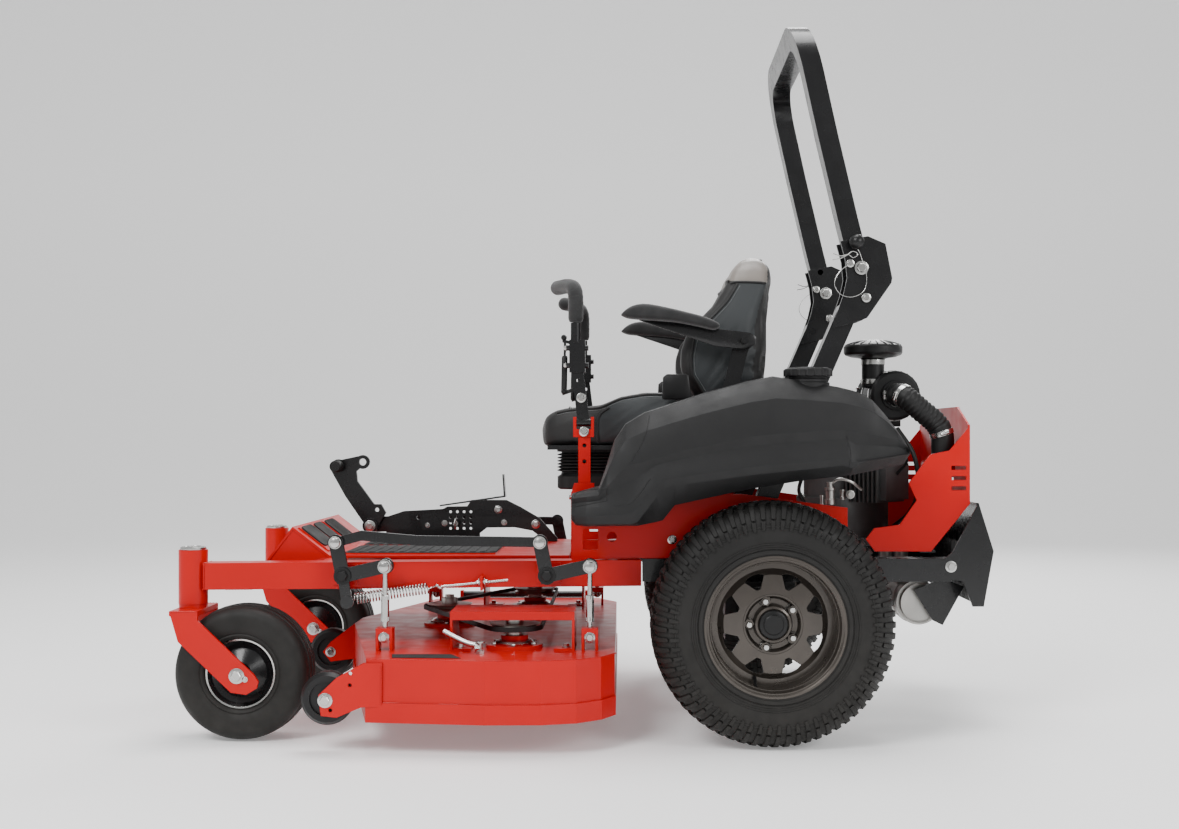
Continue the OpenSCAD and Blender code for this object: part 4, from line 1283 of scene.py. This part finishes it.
HOSE_R = 29.5
CLEANER = at(800, 0, 848)       # middle of the air cleaner's canister
NECK = at(748, -100, 0)         # axis of the pre-cleaner
FILTER = at(560, -110, 520)
ENGINE = at(660, 0, 0)          # axis of the cooling fan


def make_intake():
    bm = bmesh.new()
    path = smooth_path([at(800, -159, 848), at(800, -190, 848), at(803, -220, 846), at(818, -235, 834),
                        at(850, -236, 806), at(885, -236, 776), at(903, -236, 745), at(905, -236, 705),
                        at(905, -236, 641)], 90)
    tube(bm, path, [HOSE_R + (1.6 * math.sin(k * 2.1) if 30 < k < 62 else 0) for k in range(len(path))], 36)
    put("intake_hose_skin", bm, "rubber", "chassis", "intake_hose", smooth=50)
    bm = bmesh.new()
    for k in (4, 26, 66, 86):
        clamp(bm, path[k], path[k + 1] - path[k - 1], 29.8)
    for z in (886, 938):
        clamp(bm, NECK + Z * z * MM, Z, 30.5)
    put("hose_clamps", bm, "zinc", "chassis")


def make_air_cleaner():
    bm = bmesh.new()
    lathe(bm, [(0.1, -157), (39, -157), (40, -155), (40, -151), (58, -150), (65, -146), (66, -138), (66, -96),
               (68, -94), (68, -86), (66, -84), (66, 44), (70, 47), (74, 48), (74, 56), (72, 58), (72, 70),
               (68, 76), (40, 78), (38, 74), (0.1, 73)], CLEANER, Y, 72)
    for d in around(18, 0, X, Z):
        lathe(bm, [(0.1, 0), (2.2, 0), (2.2, 30), (0.1, 30)], CLEANER + (d * 45 + Y * 73.5) * MM, d, 6)
    for d in around(24, 0, X, Z):
        lathe(bm, [(0.1, -140), (2.0, -140), (2.0, -98), (0.1, -98)], CLEANER + d * 65.4 * MM, Y, 6)
    lathe(bm, [(28, 870), (30, 872), (30, 944), (34, 948), (60, 952), (74, 957), (77.5, 962), (78, 965),
               (78, 978), (76, 982), (72, 984), (67, 986), (38, 995), (30, 997), (0.1, 997)], NECK, Z, 72)
    for d in around(20):
        ridge = [NECK + (d * r + Z * z) * MM for r, z in ((37, 995), (52, 991.5), (68, 986.2), (75, 983))]
        tube(bm, ridge, [1.0, 1.5, 1.6, 1.2], 6)
    tube(bm, smooth_path([at(762, -84, 872), at(770, -80, 862), at(782, -78, 855)], 8), 26, 24)
    block(bm, 772, 830, -60, -20, 766, 800, 2)
    put("air_cleaner_shell", bm, "plastic", "chassis", "air_cleaner", smooth=24)
    bm = bmesh.new()
    for y in (-110, 0):
        lathe(bm, [(66.2, -8), (68, -8), (68, 8), (66.2, 8)], CLEANER + Y * y * MM, Y, 60)
    for sign in (-1, 1):
        bolt(bm, at(801 + 25 * sign, -40, 782), X * sign, 6, 4)
    for d in around(3, 40, X, Z):
        clip = [CLEANER + (d * r + Y * y) * MM for r, y in ((70, 36), (77, 44), (76, 60), (66, 72))]
        tube(bm, clip, 1.8, 8)
    put("air_cleaner_bands", bm, "zinc", "chassis")


def make_engine_trim():
    bm = bmesh.new()
    for r in range(20, 110, 10):
        lathe(bm, [(r, 780), (r + 2, 783), (r + 5, 780)], ENGINE, Z)
    for d in around(12):
        tube(bm, [ENGINE + (d * r + Z * 781) * MM for r in (22, 106)], 2.2, 6)
    lathe(bm, [(0.1, 779), (24, 779), (24, 786), (20, 789), (0.1, 789)], ENGINE, Z, 32)
    for z in (702, 712, 752):
        lathe(bm, [(134, z), (137, z + 2), (137, z + 4), (134, z + 6)], ENGINE, Z, 72)
    put("engine_screen", bm, "plastic", "chassis")
    bm = bmesh.new()
    for sign in (-1, 1):
        for turn in range(55, 139, 14):
            d = around(1, sign * turn)[0]
            bolt(bm, ENGINE + (d * 136 + Z * 728) * MM, d, 5, 4)
    for d in around(8, 20):
        bolt(bm, at(680, 0, 575) + d * 120 * MM, Z, 6, 5)
    for x in (580, 780):
        for y in (-120, 120):
            bolt(bm, at(x, y, 470), Z, 9, 7)
    put("engine_bolts", bm, "zinc", "chassis")
    bm = bmesh.new()
    lathe(bm, [(0.1, -64), (30, -64), (37, -58), (38, -50), (38, 0), (40, 2), (40, 6), (0.1, 6)],
          FILTER, X, 40)
    for d in around(16, 0, Y, Z):
        lathe(bm, [(0.1, -60), (2, -60), (2, -40), (0.1, -40)], FILTER + d * 36 * MM, X, 6)
    put("oil_filter", bm, "plastic", "chassis")
    bm = bmesh.new()
    for sign in (-1, 1):
        head = at(700, 60 * sign, 620) + (X + Y * sign) * 0.101
        tube(bm, smooth_path([head + Z * 0.02, head + Vector((0.02, 0.03 * sign, 0.06)),
                              at(780, 150 * sign, 715), at(740, 110 * sign, 745),
                              at(700, 90 * sign, 750)], 24), 4.0, 10)
    tube(bm, smooth_path([at(560, -140, 560), at(540, -175, 600), at(560, -190, 650), at(620, -160, 700),
                          at(700, -140, 720)], 26), 5.0, 10)
    tube(bm, smooth_path([at(800, -120, 500), at(830, -180, 540), at(845, -220, 600), at(835, -215, 690),
                          at(800, -170, 760)], 26), 6.0, 10)
    put("engine_leads", bm, "rubber", "chassis")
    bm = bmesh.new()
    for sign in (-1, 1):
        for y in (212, 216):
            lathe(bm, [(50, 0), (52, 1.5), (50, 3)], at(850, y * sign, 305), Y * sign)
    for y in (-150, 0, 150):
        lathe(bm, [(58, -4), (60, 0), (58, 4)], at(850, y, 305), Y)
    for x, y, z, r, h in ((616, -215, 562, 14, 44), (616, -215, 606, 9, 14), (650, -205, 574, 7, 26),
                          (596, -210, 556, 6, 30)):
        lathe(bm, [(0.1, 0), (r, 0), (r, h * 0.3), (r * 0.85, h * 0.34), (r * 0.85, h * 0.8), (r, h * 0.84),
                   (r, h), (0.1, h)], at(x, y, z), Z, 24)
    line = [at(616, -215, 615), at(640, -222, 628), at(672, -222, 620), at(700, -205, 600)]
    tube(bm, smooth_path(line, 16), 4, 10)
    bolt(bm, at(668, -222, 588), -Y, 8, 6)
    put("muffler_bands", bm, "steel", "chassis")


make_intake()
make_air_cleaner()
make_engine_trim()


# ---------------------------------------------------------------- roll bar hardware
def rops_bolts():
    bm = bmesh.new()
    for x, z, r in ((674, 1161, 12), (686, 1086, 8), (646, 1172, 7)):
        bolt(bm, at(x, -364, z), -Y, r, 7)
        bolt(bm, at(x, -277, z), Y, r, 7)
    for x, z in ((429, 500), (429, 455)):
        bolt(bm, at(x, -350, z), -Y, 8, 6)
    return bm


def on_plane(y, *points):
    """Places in a plane beside the machine, from (x, z) points."""
    return [at(x, y, z) for x, z in points]


def lanyard():
    """Thin wire tether with its hairpin clip, hanging in a loop from the lock pin."""
    bm = bmesh.new()
    loop = on_plane(-366, (618, 1150), (606, 1120), (622, 1094), (652, 1088), (680, 1104), (686, 1140),
                    (672, 1190), (662, 1212))
    tube(bm, smooth_path([at(646, -364, 1172)] + loop, 60), 0.9, 6)
    pin = on_plane(-368, (602, 1196), (622, 1190), (640, 1194), (652, 1186), (664, 1194), (652, 1202),
                   (636, 1192), (620, 1184), (600, 1180))
    tube(bm, smooth_path(pin, 50), 1.3, 6)
    return bm


KNOB_R = 19


def pin_knob():
    """Ball handle of a lock pin with its collar."""
    bm = bmesh.new()
    profile = [(8, -350.3), (8, -367), (11.5, -367.5), (12, -369), (12, -372), (11, -374)]
    for t in np.radians(np.linspace(-50, 90, 14)):
        profile.append((max(0.1, KNOB_R * math.cos(t)), -386 - KNOB_R * math.sin(t)))
    lathe(bm, profile, LOCK_PIN, Y, 32)
    return bm


sided("roll_bar_bolts_{}", rops_bolts, "zinc", "chassis")
sided("lock_pin_lanyard_{}", lanyard, "zinc", "chassis")
sided("lock_pin_knob_{}", pin_knob, "plastic", "fold_pin_{}", "lock_pin_{}")


# ---------------------------------------------------------------- welds on the frame
def frame_welds():
    bm = bmesh.new()
    for z in (366, 429):
        bead(bm, [(-946, -462, z), (-942, -400, z)], 2.4, z)
    bead(bm, [(-944, -463, 366), (-944, -463, 429)], 2.4, 3)
    for a, b in ((0.05, 0.11), (0.30, 0.38), (0.55, 0.6)):
        bead(bm, [(-945 + 1065 * t, -(462.5 - 95 * t), 366) for t in (a, b)], 2.2, a)
    bead(bm, [(-52, -357, 432), (-52, -357, 600)], 2.2, 5)
    bead(bm, [(-45, -357, 599), (300, -357, 595)], 2.0, 6)
    return bm


def fork_welds():
    bm = bmesh.new()
    for y, seed in ((-523, 1), (-341, 2)):
        bead(bm, [(-1008, y, 319), (-944, y, 319)], 2.2, seed)
    return bm


sided("frame_welds_{}", frame_welds, "red", "chassis")
sided("fork_welds_{}", fork_welds, "red", "fork_{}")
